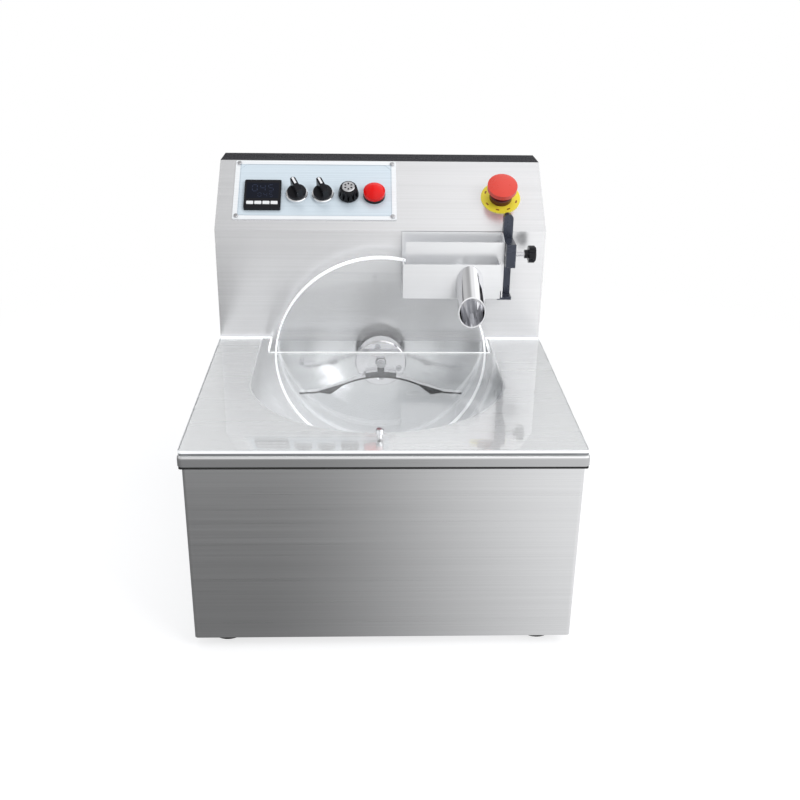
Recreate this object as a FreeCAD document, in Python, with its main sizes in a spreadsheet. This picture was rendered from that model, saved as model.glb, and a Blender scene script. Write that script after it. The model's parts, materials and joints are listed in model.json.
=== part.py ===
import FreeCAD, Part
import math
import os
import Sketcher

from FreeCAD import Placement, Rotation, Vector

# Chocolate melting and moulding machine: a heated stainless bowl under a clear lid, a clear
# dosing wheel that lifts the chocolate, a scraper with a spout that takes it off, and a rear
# housing with the controls and the drive.
# Frame: millimetres, +Z up, +X to the right of someone at the front, -Y towards them.
# The origin is under the middle of the machine, on the surface that it stands on.

doc = FreeCAD.newDocument("Melter")
sheet = doc.addObject("Spreadsheet::Sheet", "Sizes")


class Size:
    """A length or angle: its number, and the same thing written for the sheet."""

    def __init__(self, value, text):
        self.value = value
        self.text = text

    def __add__(self, other):
        other = as_size(other)
        return Size(self.value + other.value, f"({self.text} + {other.text})")

    def __sub__(self, other):
        other = as_size(other)
        return Size(self.value - other.value, f"({self.text} - {other.text})")

    def __mul__(self, other):
        other = as_size(other)
        return Size(self.value * other.value, f"({self.text} * {other.text})")

    def __truediv__(self, other):
        other = as_size(other)
        return Size(self.value / other.value, f"({self.text} / {other.text})")

    def __neg__(self):
        return Size(-self.value, f"(0 - {self.text})")

    def __radd__(self, other):
        return as_size(other) + self

    def __rsub__(self, other):
        return as_size(other) - self


def as_size(value):
    if isinstance(value, Size):
        return value
    return Size(float(value), f"({float(value)})")


def sine(angle):
    return Size(math.sin(math.radians(angle.value)), f"sin({angle.text} * 1 deg)")


def cosine(angle):
    return Size(math.cos(math.radians(angle.value)), f"cos({angle.text} * 1 deg)")


def root(size):
    return Size(math.sqrt(size.value), f"sqrt({size.text})")


# Driving sizes: lengths in millimetres, angles in degrees
SIZES = {
    # Machine
    "plate_width": 430,
    "plate_height": 242,
    "plate_depth": 350,
    "metal": 1.5,
    "thin_metal": 1.2,
    "seat_gap": 0.3,
    "running_gap": 0.05,
    "hole_gap": 0.15,
    "small_edge": 1,
    # Cabinet
    "lip_height": 12,
    "lip_overhang": 4,
    "plate_corner": 6,
    "plate_edge_round": 3.5,
    "cabinet_corner": 4,
    "back_flange": 18,
    "tray_height": 18,
    "tray_corner": 5,
    "vent_x": -37.5,
    "vent_y": -60,
    "vent_length": 60,
    "vent_width": 5,
    "vent_pitch": 14,
    "vent_count": 6,
    # Feet
    "foot_height": 14,
    "foot_radius": 19,
    "foot_taper": 2.5,
    "foot_inset": 34,
    "foot_recess_radius": 8,
    "foot_recess_depth": 9,
    "foot_screw_radius": 2.5,
    "foot_head_radius": 5,
    "foot_head_height": 3.5,
    "foot_nut_height": 4,
    "foot_screw_end": 2,
    # Rear housing
    "housing_depth": 150,
    "housing_step": 1,
    "wall_height": 150,
    "panel_length": 117,
    "panel_lean": 52,
    "small_screw_radius": 1.5,
    "small_head_radius": 3,
    "small_head_height": 2.3,
    "small_screw_length": 8,
    "cover_margin": 6,
    "cover_bottom": 20,
    "louvre_length": 70,
    "louvre_slot": 3.5,
    "louvre_depth": 2.2,
    "louvre_height": 7,
    "louvre_lip": 1,
    "louvre_pitch": 13,
    "louvre_count": 7,
    "louvre_column": 85,
    "louvre_bottom": 270,
    "cover_screw_bottom": 45,
    "cover_screw_pitch": 94,
    "cover_screw_rows": 5,
    "cover_top_screw_x": 110,
    # Tank
    "tank_x": -6,
    "tank_room": 11.5,
    "tank_straight": 149,
    "axle_drop": 17.5,
    "heater_thickness": 2.5,
    "heater_angle": 30,
    "heater_margin": 12,
    "probe_x": 106,
    "probe_drop": 16,
    "probe_radius": 3,
    "probe_reach": 8,
    "probe_tail": 24,
    "gland_radius": 8,
    "gland_length": 8,
    # Wheel
    "disc_radius": 140,
    "disc_thickness": 10,
    "disc_gap": 20,
    "disc_edge": 1.2,
    "hub_radius": 33.5,
    "hub_length": 17,
    "hub_edge": 1.5,
    "rear_hub_radius": 30,
    "rear_hub_flange": 7,
    "rear_hub_boss": 14,
    "wall_clearance": 2.5,
    "hub_screw_circle": 25,
    "hub_screw_radius": 2.5,
    "hub_head_radius": 4.2,
    "hub_head_sink": 3,
    "hub_socket_radius": 1.6,
    "hub_screw_angle": 100,
    "hub_screw_count": 3,
    "pin_radius": 4,
    "pin_thread": 6,
    "pin_head_radius": 6.5,
    "pin_head_height": 3,
    "shaft_radius": 7.5,
    "shaft_in_hub": 9,
    # Blade
    "blade_drop": 16,
    "blade_thickness": 2.5,
    "blade_width": 9,
    "blade_shoulder_x": 47,
    "blade_shoulder_fall": 10,
    "blade_knee_x": 84,
    "blade_knee_fall": 22,
    "blade_tip_x": 107,
    "blade_tip_fall": 23.5,
    "fin_x": 66,
    "fin_fall": 26,
    "fin_thickness": 2,
    "saddle_half_width": 20,
    "saddle_height": 6,
    "saddle_crown": 2,
    "hanger_eye": 7,
    "hanger_thickness": 3,
    "hanger_neck": 2.5,
    "hanger_foot": 5,
    "bolt_radius": 2.4,
    "bolt_head_radius": 4.5,
    "bolt_head_height": 3,
    "bolt_end": 1,
    # Drive
    "seal_radius": 15,
    "seal_length": 7,
    "seal_lip": 3,
    "seal_lip_start": 2,
    "seal_lip_width": 1,
    "bearing_radius": 16,
    "bearing_width": 9,
    "bearing_shoulder": 13,
    "bearing_groove": 0.6,
    "spigot_radius": 16.5,
    "bearing_flange_radius": 40,
    "bearing_flange": 6.5,
    "bearing_barrel_radius": 26,
    "bearing_spacing": 1,
    "stud_circle": 33,
    "stud_radius": 2.5,
    "stud_length": 11,
    "stud_count": 4,
    "stud_nut_radius": 4.5,
    "stud_nut_height": 4,
    "coupling_radius": 14,
    "coupling_gap": 3,
    "coupling_half": 11,
    "output_radius": 5,
    "output_engaged": 10,
    "bracket_half": 44,
    "bracket_leg": 38,
    "bracket_leg_radius": 5,
    "bracket_thickness": 3,
    "bracket_hole": 17,
    "gearbox_half": 35,
    "gearbox_length": 34,
    "gearbox_corner": 6,
    "gearbox_waist": 2,
    "gearbox_screw": 28,
    "motor_radius": 32,
    "motor_length": 50,
    "motor_step": 3,
    "motor_cap_radius": 22,
    "motor_cap_length": 4,
    "motor_fins": 12,
    "motor_groove": 2,
    # Label plate and controls
    "label_x": -86,
    "label_rise": 65.6,
    "label_width": 213,
    "label_height": 98.4,
    "label_thickness": 1.5,
    "label_border": 6,
    "label_recess": 0.4,
    "label_clip": 9,
    "label_corner": 2,
    "label_screw_inset": 5,
    "control_rise": 57,
    "controller_x": -154.5,
    "controller_drop": 2,
    "first_switch_x": -110,
    "control_pitch": 33.8,
    "controller_side": 48,
    "controller_height": 5,
    "controller_body": 44.5,
    "controller_depth": 70,
    "controller_corner": 2,
    "window_width": 42,
    "window_height": 26,
    "window_depth": 1.5,
    "window_rise": 5,
    "key_width": 9,
    "key_height": 5,
    "key_pitch": 10.5,
    "key_count": 4,
    "key_fall": 15.5,
    "key_proud": 0.8,
    "key_travel": 0.5,
    "key_depth": 4,
    "control_barrel_radius": 11,
    "control_barrel_length": 14,
    "bezel_radius": 14.5,
    "bezel_height": 4.5,
    "bezel_edge": 1,
    "block_width": 28,
    "block_height": 34,
    "block_depth": 30,
    "knob_stem_radius": 4,
    "knob_stem_length": 6,
    "knob_radius": 12.5,
    "knob_base": 4,
    "lever_width": 7.5,
    "lever_front": 14,
    "lever_back": 11.5,
    "lever_height": 12,
    "lever_edge": 1.2,
    "lever_angle": 25,
    "nut_radius": 14,
    "nut_height": 4,
    "nut_notches": 6,
    "nut_notch": 2,
    # Speed knob, lamp and stop button
    "pot_bush_radius": 4.5,
    "pot_radius": 12,
    "pot_depth": 14,
    "pot_washer_radius": 12.5,
    "pot_washer_height": 1.2,
    "pot_shaft_radius": 3,
    "speed_knob_radius": 13.5,
    "speed_knob_height": 15,
    "speed_knob_neck": 11,
    "speed_knob_skirt": 2,
    "speed_flutes": 12,
    "flute_radius": 1.6,
    "cap_radius": 8.5,
    "cap_height": 1.6,
    "lens_radius": 14.2,
    "lens_height": 11.5,
    "lens_wall": 5,
    "lens_seat": 12,
    "lens_base": 2,
    "stop_x": 158,
    "stop_rise": 55,
    "stop_ring_radius": 26,
    "stop_ring_height": 1.2,
    "stop_collar_radius": 15,
    "stop_collar_height": 8,
    "stop_stem_radius": 7,
    "stop_stem_length": 19,
    "stop_neck_radius": 9,
    "stop_head_radius": 19.5,
    "stop_head_height": 10,
    "stop_head_crown": 3,
    "stop_travel": 5,
    "stop_spare": 1,
    # Scraper
    "scraper_left": 27,
    "scraper_right": 156.7,
    "scraper_back": 8.5,
    "scraper_bottom": 71,
    "scraper_top": 151,
    "inner_wall_left": 31,
    "inner_wall_front": 34.5,
    "inner_wall_top": 144,
    "inner_wall_bottom": 80,
    "trough_right": 150,
    "trough_front": 60,
    "trough_bottom": 78,
    "trough_top": 122,
    "trough_floor_rise": 12,
    "spout_x": 111,
    "spout_mouth_front": 103,
    "spout_mouth_height": 73.7,
    "spout_radius": 17,
    "spout_wall": 1.5,
    "spout_fall": 32,
    "wiper_left": 36,
    "wiper_length": 66,
    "wiper_bottom": 81,
    "wiper_height": 12,
    "wiper_corner": 4,
    # Scraper post and star knob
    "post_left": 157,
    "post_width": 12,
    "post_thickness": 12,
    "post_bottom": 67,
    "post_top": 175,
    "ledge_reach": 6,
    "ledge_front": 30,
    "clamp_front": 50,
    "clamp_bottom": 115,
    "clamp_top": 145,
    "clamp_edge": 1,
    "screw_front": 40,
    "screw_height": 131,
    "clamp_screw_radius": 3,
    "clamp_tip_gap": 0.1,
    "star_gap": 12,
    "star_thickness": 9,
    "star_radius": 11,
    "star_lobes": 5,
    "star_notch": 3.2,
    "star_boss_radius": 5.5,
    "star_boss_length": 5,
    "star_edge": 2,
    "post_screw_radius": 2.5,
    "post_screw_depth": 8,
    "post_screw_inset": 14,
    "post_head_radius": 4.5,
    "post_head_height": 3,
    # Lid
    "lid_thickness": 6,
    "lid_inset": 1,
    "lid_corner": 5,
    "lid_back": 4,
    "lid_notch_left": 145,
    "lid_notch_right": 141,
    "lid_notch_front": 60.5,
    "lid_edge": 0.8,
    "lid_gap": 0.2,
    "lid_knob_x": -5,
    "lid_knob_radius": 4.2,
    "lid_knob_height": 10,
    "lid_knob_neck": 2.8,
    "lid_knob_setback": 33,
    # Electrics
    "board_x": -110,
    "board_y": 175,
    "board_width": 90,
    "board_depth": 66,
    "board_thickness": 1.6,
    "pillar_height": 10,
    "pillar_radius": 3,
    "pillar_inset": 6,
    "board_sink_fins": 4,
    "board_sink_width": 40,
    "board_sink_depth": 12,
    "board_sink_height": 25,
    "board_cap_radius": 8,
    "board_cap_height": 20,
    "board_cap_x": 10.4,
    "terminal_x": 70,
    "terminal_y": 190,
    "terminal_length": 80,
    "terminal_depth": 20,
    "terminal_height": 18,
    "terminal_ways": 8,
    "terminal_pitch": 9,
    "terminal_hole_radius": 2.5,
    "terminal_hole_depth": 6,
    "inlet_x": 140,
    "inlet_z": 62,
    "inlet_flange_width": 50,
    "inlet_flange_height": 28,
    "inlet_flange": 2.3,
    "inlet_body_width": 29,
    "inlet_body_height": 22,
    "inlet_depth": 26,
    "inlet_socket_width": 24,
    "inlet_socket_height": 16,
    "inlet_socket_depth": 17,
    "inlet_pin_width": 4,
    "inlet_pin_thickness": 2,
    "inlet_pin_length": 12,
    "inlet_pin_pitch": 7,
    "inlet_pin_rise": 2,
    "inlet_clip": 4,
}


class Names:
    """The sheet's sizes by name."""


S = Names()
for row, (name, value) in enumerate(SIZES.items(), 1):
    sheet.set(f"A{row}", name.replace("_", " "))
    sheet.set(f"B{row}", str(value))
    sheet.setAlias(f"B{row}", name)
    setattr(S, name, Size(float(value), f"Sizes.{name}"))
doc.recompute()

# Places that several pieces share
machine_depth = S.plate_depth + S.housing_depth
front_y = -machine_depth / 2
wall_y = front_y + S.plate_depth
cover_outer_y = machine_depth / 2 - S.small_head_height
cover_y = cover_outer_y - S.thin_metal
axle_z = S.plate_height - S.axle_drop
tray_top_z = S.foot_height + S.metal
cabinet_x = S.plate_width / 2 - S.lip_overhang
cabinet_front_y = front_y + S.lip_overhang
housing_x = S.plate_width / 2 - S.housing_step
crease_z = S.plate_height + S.wall_height
panel_back = S.panel_length * sine(S.panel_lean)
panel_rise = S.panel_length * cosine(S.panel_lean)
roof_z = crease_z + panel_rise
panel_turn = 90 - S.panel_lean
foot_x = cabinet_x - S.foot_inset
foot_low_y = cabinet_front_y + S.foot_inset
foot_high_y = cover_y - S.foot_inset
tank_radius = S.disc_radius + S.tank_room
tank_centre_y = wall_y - S.tank_straight
through = S.metal * 3
controller_hole = S.controller_body + S.hole_gap * 2
barrel_hole = S.control_barrel_radius + S.hole_gap
screw_hole = S.small_screw_radius + S.hole_gap
label_face = S.label_thickness - S.label_recess

# Distances from the rear wall along the wheel's axis, positive behind the wall
hub_back = -S.disc_gap - S.disc_thickness
hub_front = hub_back - S.hub_length
rear_hub_back = -S.wall_clearance
bearing_start = S.metal + S.bearing_flange
barrel_end = bearing_start + S.bearing_width * 2 + S.bearing_spacing
coupling_start = barrel_end + S.coupling_gap
coupling_end = coupling_start + S.coupling_half * 2
bracket_start = coupling_end + S.bearing_spacing
gearbox_start = bracket_start + S.bracket_thickness
motor_start = gearbox_start + S.gearbox_length


def ahead(distance):
    """The Y of a point this far in front of the rear wall."""
    return wall_y - distance


def above(height):
    """The Z of a point this far above the top plate."""
    return S.plate_height + height


def bind(obj, name, size):
    obj.setExpression(name, as_size(size).text)


def place(obj, x, y, z):
    obj.Placement = Placement(Vector(as_size(x).value, as_size(y).value, as_size(z).value), Rotation())
    bind(obj, "Placement.Base.x", x)
    bind(obj, "Placement.Base.y", y)
    bind(obj, "Placement.Base.z", z)


def turn(obj, axis, angle):
    """Turn an object about its own origin by an angle from the sheet."""
    angle = as_size(angle)
    obj.Placement.Rotation = Rotation(axis, angle.value)
    bind(obj, "Placement.Rotation.Angle", angle)


def place_on_panel(obj, x, rise, lift=0, spin=None):
    """Stand an object on the leaning control panel: x across, rise up the slope, lift off it,
    and spin about the panel's normal."""
    rise = as_size(rise)
    lift = as_size(lift)
    y = wall_y + rise * sine(S.panel_lean) - lift * cosine(S.panel_lean)
    z = crease_z + rise * cosine(S.panel_lean) + lift * sine(S.panel_lean)
    place(obj, x, y, z)
    if spin is None:
        turn(obj, Vector(1, 0, 0), panel_turn)
    else:
        lean = Rotation(Vector(1, 0, 0), panel_turn.value)
        obj.Placement.Rotation = lean * Rotation(Vector(0, 0, 1), spin.value)


def place_on_axle(obj):
    """The wheel's own frame: its axis is Y, and Y is zero at the rear wall."""
    place(obj, 0, wall_y, axle_z)


def new_body(label):
    body = doc.addObject("PartDesign::Body", label)
    body.Label = label
    return body


def new_sketch(body, plane, name, lift=0):
    """A sketch on one of the body's own planes, lifted along that plane's normal."""
    sketch = body.newObject("Sketcher::SketchObject", name)
    support = [item for item in body.Origin.OriginFeatures if item.Role == plane][0]
    sketch.AttachmentSupport = [(support, "")]
    sketch.MapMode = "FlatFace"
    lift = as_size(lift)
    sketch.AttachmentOffset = Placement(Vector(0, 0, lift.value), Rotation())
    bind(sketch, "AttachmentOffset.Base.z", lift)
    return sketch


def fix_point(sketch, geometry, point, x, y, fixed):
    """Queue the two distances from the sketch's origin to a point."""
    for kind, size in (("DistanceX", as_size(x)), ("DistanceY", as_size(y))):
        fixed.append((Sketcher.Constraint(kind, -1, 1, geometry, point, size.value), size))


def add_fixed(sketch, fixed):
    for constraint, size in fixed:
        index = sketch.addConstraint(constraint)
        if size is not None:
            name = f"{sketch.Name}_{index}"
            sketch.renameConstraint(index, name)
            bind(sketch, f"Constraints.{name}", size)


def outline(sketch, corners, arcs=None):
    """A closed loop through the corners. arcs maps a corner's number to the centre of the arc
    that leaves it, and +1 or -1 for the way round."""
    arcs = arcs or {}
    count = len(corners)
    spots = [(as_size(x), as_size(y)) for x, y in corners]
    ends = []
    fixed = []
    for number in range(count):
        start = Vector(spots[number][0].value, spots[number][1].value, 0)
        stop_x, stop_y = spots[(number + 1) % count]
        stop = Vector(stop_x.value, stop_y.value, 0)
        if number in arcs:
            centre_x, centre_y, way = arcs[number]
            centre = Vector(as_size(centre_x).value, as_size(centre_y).value, 0)
            circle = Part.Circle(centre, Vector(0, 0, 1), (start - centre).Length)
            first, last = (start, stop) if way > 0 else (stop, start)
            begin = math.atan2(first.y - centre.y, first.x - centre.x)
            finish = math.atan2(last.y - centre.y, last.x - centre.x)
            if finish <= begin:
                finish += 2 * math.pi
            geometry = sketch.addGeometry(Part.ArcOfCircle(circle, begin, finish), False)
            ends.append((geometry, 1, 2) if way > 0 else (geometry, 2, 1))
            chord = stop - start
            if abs(chord.x) >= abs(chord.y):
                size = as_size(centre_y)
                fixed.append((Sketcher.Constraint("DistanceY", -1, 1, geometry, 3, size.value), size))
            else:
                size = as_size(centre_x)
                fixed.append((Sketcher.Constraint("DistanceX", -1, 1, geometry, 3, size.value), size))
        else:
            geometry = sketch.addGeometry(Part.LineSegment(start, stop), False)
            ends.append((geometry, 1, 2))
    for number in range(count):
        geometry, begin, _ = ends[number]
        before, _, finish = ends[number - 1]
        fixed.append((Sketcher.Constraint("Coincident", before, finish, geometry, begin), None))
        fix_point(sketch, geometry, begin, spots[number][0], spots[number][1], fixed)
    add_fixed(sketch, fixed)


def rectangle(sketch, left, low, right, high):
    outline(sketch, [(left, low), (right, low), (right, high), (left, high)])


def rounded(sketch, left, low, right, high, radius):
    """A rectangle with four round corners."""
    left, low, right, high = (as_size(side) for side in (left, low, right, high))
    corners = [
        (left + radius, low),
        (right - radius, low),
        (right, low + radius),
        (right, high - radius),
        (right - radius, high),
        (left + radius, high),
        (left, high - radius),
        (left, low + radius),
    ]
    arcs = {
        1: (right - radius, low + radius, 1),
        3: (right - radius, high - radius, 1),
        5: (left + radius, high - radius, 1),
        7: (left + radius, low + radius, 1),
    }
    outline(sketch, corners, arcs)


def circle(sketch, x, y, radius):
    x, y, radius = as_size(x), as_size(y), as_size(radius)
    ring = Part.Circle(Vector(x.value, y.value, 0), Vector(0, 0, 1), radius.value)
    geometry = sketch.addGeometry(ring, False)
    fixed = [(Sketcher.Constraint("Radius", geometry, radius.value), radius)]
    fix_point(sketch, geometry, 3, x, y, fixed)
    add_fixed(sketch, fixed)


def pad(body, sketch, length, back=False, both=False):
    feature = body.newObject("PartDesign::Pad", sketch.Name + "_pad")
    feature.Profile = sketch
    feature.Reversed = back
    feature.Midplane = both
    bind(feature, "Length", length)
    sketch.Visibility = False
    return feature


def pocket(body, sketch, length, back=False, both=False):
    feature = body.newObject("PartDesign::Pocket", sketch.Name + "_pocket")
    feature.Profile = sketch
    feature.Reversed = back
    feature.Midplane = both
    bind(feature, "Length", length)
    sketch.Visibility = False
    return feature


def revolve(body, sketch, axis, angle=360, both=False):
    feature = body.newObject("PartDesign::Revolution", sketch.Name + "_turned")
    feature.Profile = sketch
    feature.ReferenceAxis = (sketch, [axis])
    feature.Angle = angle
    feature.Midplane = both
    sketch.Visibility = False
    return feature


def around(body, feature, sketch, count, axis="N_Axis"):
    """Copy a feature round the sketch's axis."""
    pattern = body.newObject("PartDesign::PolarPattern", feature.Name + "_around")
    pattern.Originals = [feature]
    pattern.Axis = (sketch, [axis])
    pattern.Angle = 360
    bind(pattern, "Occurrences", count)
    body.Tip = pattern
    return pattern


def along(body, features, sketch, length, count, axis="H_Axis"):
    """Copy features in a row."""
    pattern = body.newObject("PartDesign::LinearPattern", features[0].Name + "_row")
    pattern.Originals = features
    pattern.Direction = (sketch, [axis])
    bind(pattern, "Length", length)
    bind(pattern, "Occurrences", count)
    body.Tip = pattern
    return pattern


def dress(body, kind, size, chooser):
    """A fillet or chamfer on the edges that the chooser picks."""
    doc.recompute()
    base = body.Tip
    picked = [f"Edge{number}" for number, edge in enumerate(base.Shape.Edges, 1) if chooser(edge)]
    feature = body.newObject("PartDesign::" + kind, base.Name + "_" + kind.lower())
    feature.Base = (base, picked)
    bind(feature, "Radius" if kind == "Fillet" else "Size", size)
    body.Tip = feature
    return feature


def middle(edge):
    return edge.valueAt((edge.FirstParameter + edge.LastParameter) / 2)


def near(first, second):
    return abs(first - second) < 0.01


def cylinder(label, radius, height):
    obj = doc.addObject("Part::Cylinder", label)
    obj.Label = label
    bind(obj, "Radius", radius)
    bind(obj, "Height", height)
    return obj


def box(label, length, width, height):
    obj = doc.addObject("Part::Box", label)
    obj.Label = label
    bind(obj, "Length", length)
    bind(obj, "Width", width)
    bind(obj, "Height", height)
    return obj


def fuse(label, shapes):
    obj = doc.addObject("Part::MultiFuse", label)
    obj.Label = label
    obj.Shapes = shapes
    return obj


def cut(label, base, tools):
    tool = tools[0] if len(tools) == 1 else fuse(label + "_tools", tools)
    obj = doc.addObject("Part::Cut", label)
    obj.Label = label
    obj.Base = base
    obj.Tool = tool
    return obj


def copies(label, source, placers):
    """A group of separate solids: one linked copy of the source for each placer."""
    links = []
    for number, placer in enumerate(placers, 1):
        link = doc.addObject("App::Link", f"{label}_{number}")
        link.LinkedObject = source
        placer(link)
        links.append(link)
    return together(label, links)


def together(label, shapes):
    """Several pieces that share one node."""
    group = doc.addObject("Part::Compound", label)
    group.Links = shapes
    return group


def placer_at(x, y, z):
    return lambda obj: place(obj, x, y, z)


def placer_on_panel(x, rise, lift=0):
    return lambda obj: place_on_panel(obj, x, rise, lift)


def four_places(half_x, low_y, high_y, z):
    return [placer_at(x, y, z) for x in (-half_x, half_x) for y in (low_y, high_y)]


nodes = []


def keep(obj, label):
    """Hand in this object as a piece of the machine under its own name."""
    obj.Label = label
    nodes.append(obj)
    return obj


def cabinet_wrap():
    """Front and sides, folded from one sheet, with a return flange behind for the rear cover."""
    body = new_body("wrap_sheet")
    sketch = new_sketch(body, "XY_Plane", "wrap_plan", S.foot_height)
    inner_x = cabinet_x - S.metal
    radius = S.cabinet_corner
    inside = S.cabinet_corner - S.metal
    front = cabinet_front_y
    flange_x = inner_x - S.back_flange
    corners = [
        (-flange_x, cover_y),
        (-cabinet_x, cover_y),
        (-cabinet_x, front + radius),
        (-cabinet_x + radius, front),
        (cabinet_x - radius, front),
        (cabinet_x, front + radius),
        (cabinet_x, cover_y),
        (flange_x, cover_y),
        (flange_x, cover_y - S.metal),
        (inner_x, cover_y - S.metal),
        (inner_x, front + radius),
        (inner_x - inside, front + S.metal),
        (-inner_x + inside, front + S.metal),
        (-inner_x, front + radius),
        (-inner_x, cover_y - S.metal),
        (-flange_x, cover_y - S.metal),
    ]
    arcs = {
        2: (-cabinet_x + radius, front + radius, 1),
        4: (cabinet_x - radius, front + radius, 1),
        10: (inner_x - inside, front + radius, -1),
        12: (-inner_x + inside, front + radius, -1),
    }
    outline(sketch, corners, arcs)
    pad(body, sketch, S.plate_height - S.metal - S.foot_height)
    tools = [cover_hole(f"wrap_hole_{number}", x, z, S.small_screw_radius)
             for number, (x, z) in enumerate(cover_screw_places(), 1)
             if z.value < S.plate_height.value]
    keep(cut("cabinet_wrap", body, tools), "cabinet_wrap")


def base_plate():
    """Bottom tray with an upstand all round, vent slots, foot holes and four board pillars."""
    body = new_body("base_plate")
    half = cabinet_x - S.metal
    low = cabinet_front_y + S.metal
    high = cover_y - S.metal
    blank = new_sketch(body, "XY_Plane", "tray_blank", S.foot_height)
    rounded(blank, -half, low, half, high, S.tray_corner)
    pad(body, blank, S.tray_height)
    hollow = new_sketch(body, "XY_Plane", "tray_hollow", S.foot_height + S.tray_height)
    edge = S.metal
    rounded(hollow, -half + edge, low + edge, half - edge, high - edge, S.tray_corner - edge)
    pocket(body, hollow, S.tray_height - S.metal)
    holes = new_sketch(body, "XY_Plane", "tray_foot_holes", tray_top_z)
    for x in (-foot_x, foot_x):
        for y in (foot_low_y, foot_high_y):
            circle(holes, x, y, S.foot_screw_radius + S.hole_gap)
    pocket(body, holes, S.metal)
    slot = new_sketch(body, "XY_Plane", "tray_vent", tray_top_z)
    rectangle(slot, S.vent_x, S.vent_y, S.vent_x + S.vent_width, S.vent_y + S.vent_length)
    vent = pocket(body, slot, S.metal)
    along(body, [vent], slot, S.vent_pitch * (S.vent_count - 1), S.vent_count)
    pillars = new_sketch(body, "XY_Plane", "tray_pillars", tray_top_z)
    for x in (-1, 1):
        for y in (-1, 1):
            pillar_x = S.board_x + (S.board_width / 2 - S.pillar_inset) * x
            pillar_y = S.board_y + (S.board_depth / 2 - S.pillar_inset) * y
            circle(pillars, pillar_x, pillar_y, S.pillar_radius)
    pad(body, pillars, S.pillar_height)
    keep(body, "base_plate")


def feet():
    """Tapered rubber feet, each held by a screw up through the tray."""
    body = new_body("foot_form")
    sketch = new_sketch(body, "XZ_Plane", "foot_profile")
    hole = S.foot_screw_radius + S.hole_gap
    top = S.foot_radius - S.foot_taper
    corners = [
        (S.foot_recess_radius, 0),
        (S.foot_radius - S.small_edge, 0),
        (S.foot_radius, S.small_edge),
        (top, S.foot_height),
        (hole, S.foot_height),
        (hole, S.foot_recess_depth),
        (S.foot_recess_radius, S.foot_recess_depth),
    ]
    outline(sketch, corners)
    revolve(body, sketch, "V_Axis")
    places = four_places(foot_x, foot_low_y, foot_high_y, 0)
    keep(copies("rubber_feet", body, places), "rubber_feet")

    screw = new_body("foot_screw_form")
    profile = new_sketch(screw, "XZ_Plane", "foot_screw_profile")
    nut_top = tray_top_z + S.foot_nut_height
    outline(profile, [
        (0, S.foot_recess_depth - S.foot_head_height),
        (S.foot_head_radius, S.foot_recess_depth - S.foot_head_height),
        (S.foot_head_radius, S.foot_recess_depth),
        (S.foot_screw_radius, S.foot_recess_depth),
        (S.foot_screw_radius, tray_top_z),
        (S.foot_head_radius, tray_top_z),
        (S.foot_head_radius, nut_top),
        (S.foot_screw_radius, nut_top),
        (S.foot_screw_radius, nut_top + S.foot_screw_end),
        (0, nut_top + S.foot_screw_end),
    ])
    revolve(screw, profile, "V_Axis")
    keep(copies("foot_screws", screw, places), "foot_screws")


def top_plate():
    """Pressed top plate: rolled edges with a lip on three sides, and the tank's opening."""
    body = new_body("top_plate")
    half = S.plate_width / 2
    radius = S.plate_corner
    blank = new_sketch(body, "XY_Plane", "plate_blank", S.plate_height - S.lip_height)
    corners = [
        (-half, wall_y),
        (-half, front_y + radius),
        (-half + radius, front_y),
        (half - radius, front_y),
        (half, front_y + radius),
        (half, wall_y),
    ]
    arcs = {
        1: (-half + radius, front_y + radius, 1),
        3: (half - radius, front_y + radius, 1),
    }
    outline(blank, corners, arcs)
    pad(body, blank, S.lip_height)

    def rolled(edge):
        spot = middle(edge)
        return near(spot.z, S.plate_height.value) and not near(spot.y, wall_y.value)

    dress(body, "Fillet", S.plate_edge_round, rolled)
    under = new_sketch(body, "XY_Plane", "plate_underside", S.plate_height - S.lip_height)
    edge = S.metal
    inside = S.plate_corner - S.metal
    inner = half - edge
    inner_front = front_y + edge
    outline(under, [
        (-inner, wall_y),
        (-inner, inner_front + inside),
        (-inner + inside, inner_front),
        (inner - inside, inner_front),
        (inner, inner_front + inside),
        (inner, wall_y),
    ], {
        1: (-inner + inside, inner_front + inside, 1),
        3: (inner - inside, inner_front + inside, 1),
    })
    pocket(body, under, S.lip_height - S.metal, back=True)
    opening = new_sketch(body, "XY_Plane", "plate_opening", S.plate_height)
    reach = tank_radius + S.metal
    u_outline(opening, reach, wall_y, S.tank_x, tank_centre_y)
    pocket(body, opening, S.metal)
    keep(body, "top_plate")


def u_outline(sketch, reach, back_y, centre_x=0, centre_y=0):
    """The tank's plan: straight sides and a half-round front."""
    left = -reach + centre_x
    right = reach + centre_x
    corners = [(left, back_y), (left, centre_y), (right, centre_y), (right, back_y)]
    outline(sketch, corners, {1: (centre_x, centre_y, 1)})


def tank_form(label, reach, back):
    """Straight walls down to the axle, a half cylinder under them and a quarter ball in front.
    The form's own origin is the ball's centre."""
    body = new_body(label)
    plan = new_sketch(body, "XY_Plane", label + "_plan")
    u_outline(plan, reach, back)
    pad(body, plan, S.axle_drop)
    trough = new_sketch(body, "XZ_Plane", label + "_trough")
    outline(trough, [(-reach, 0), (reach, 0)], {0: (0, 0, 1)})
    pad(body, trough, back, back=True)
    ball = new_sketch(body, "YZ_Plane", label + "_ball")
    outline(ball, [(0, 0), (-reach, 0), (0, -reach)], {1: (0, 0, 1)})
    revolve(body, ball, "V_Axis", 180, both=True)
    place(body, S.tank_x, tank_centre_y, axle_z)
    return body


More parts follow.
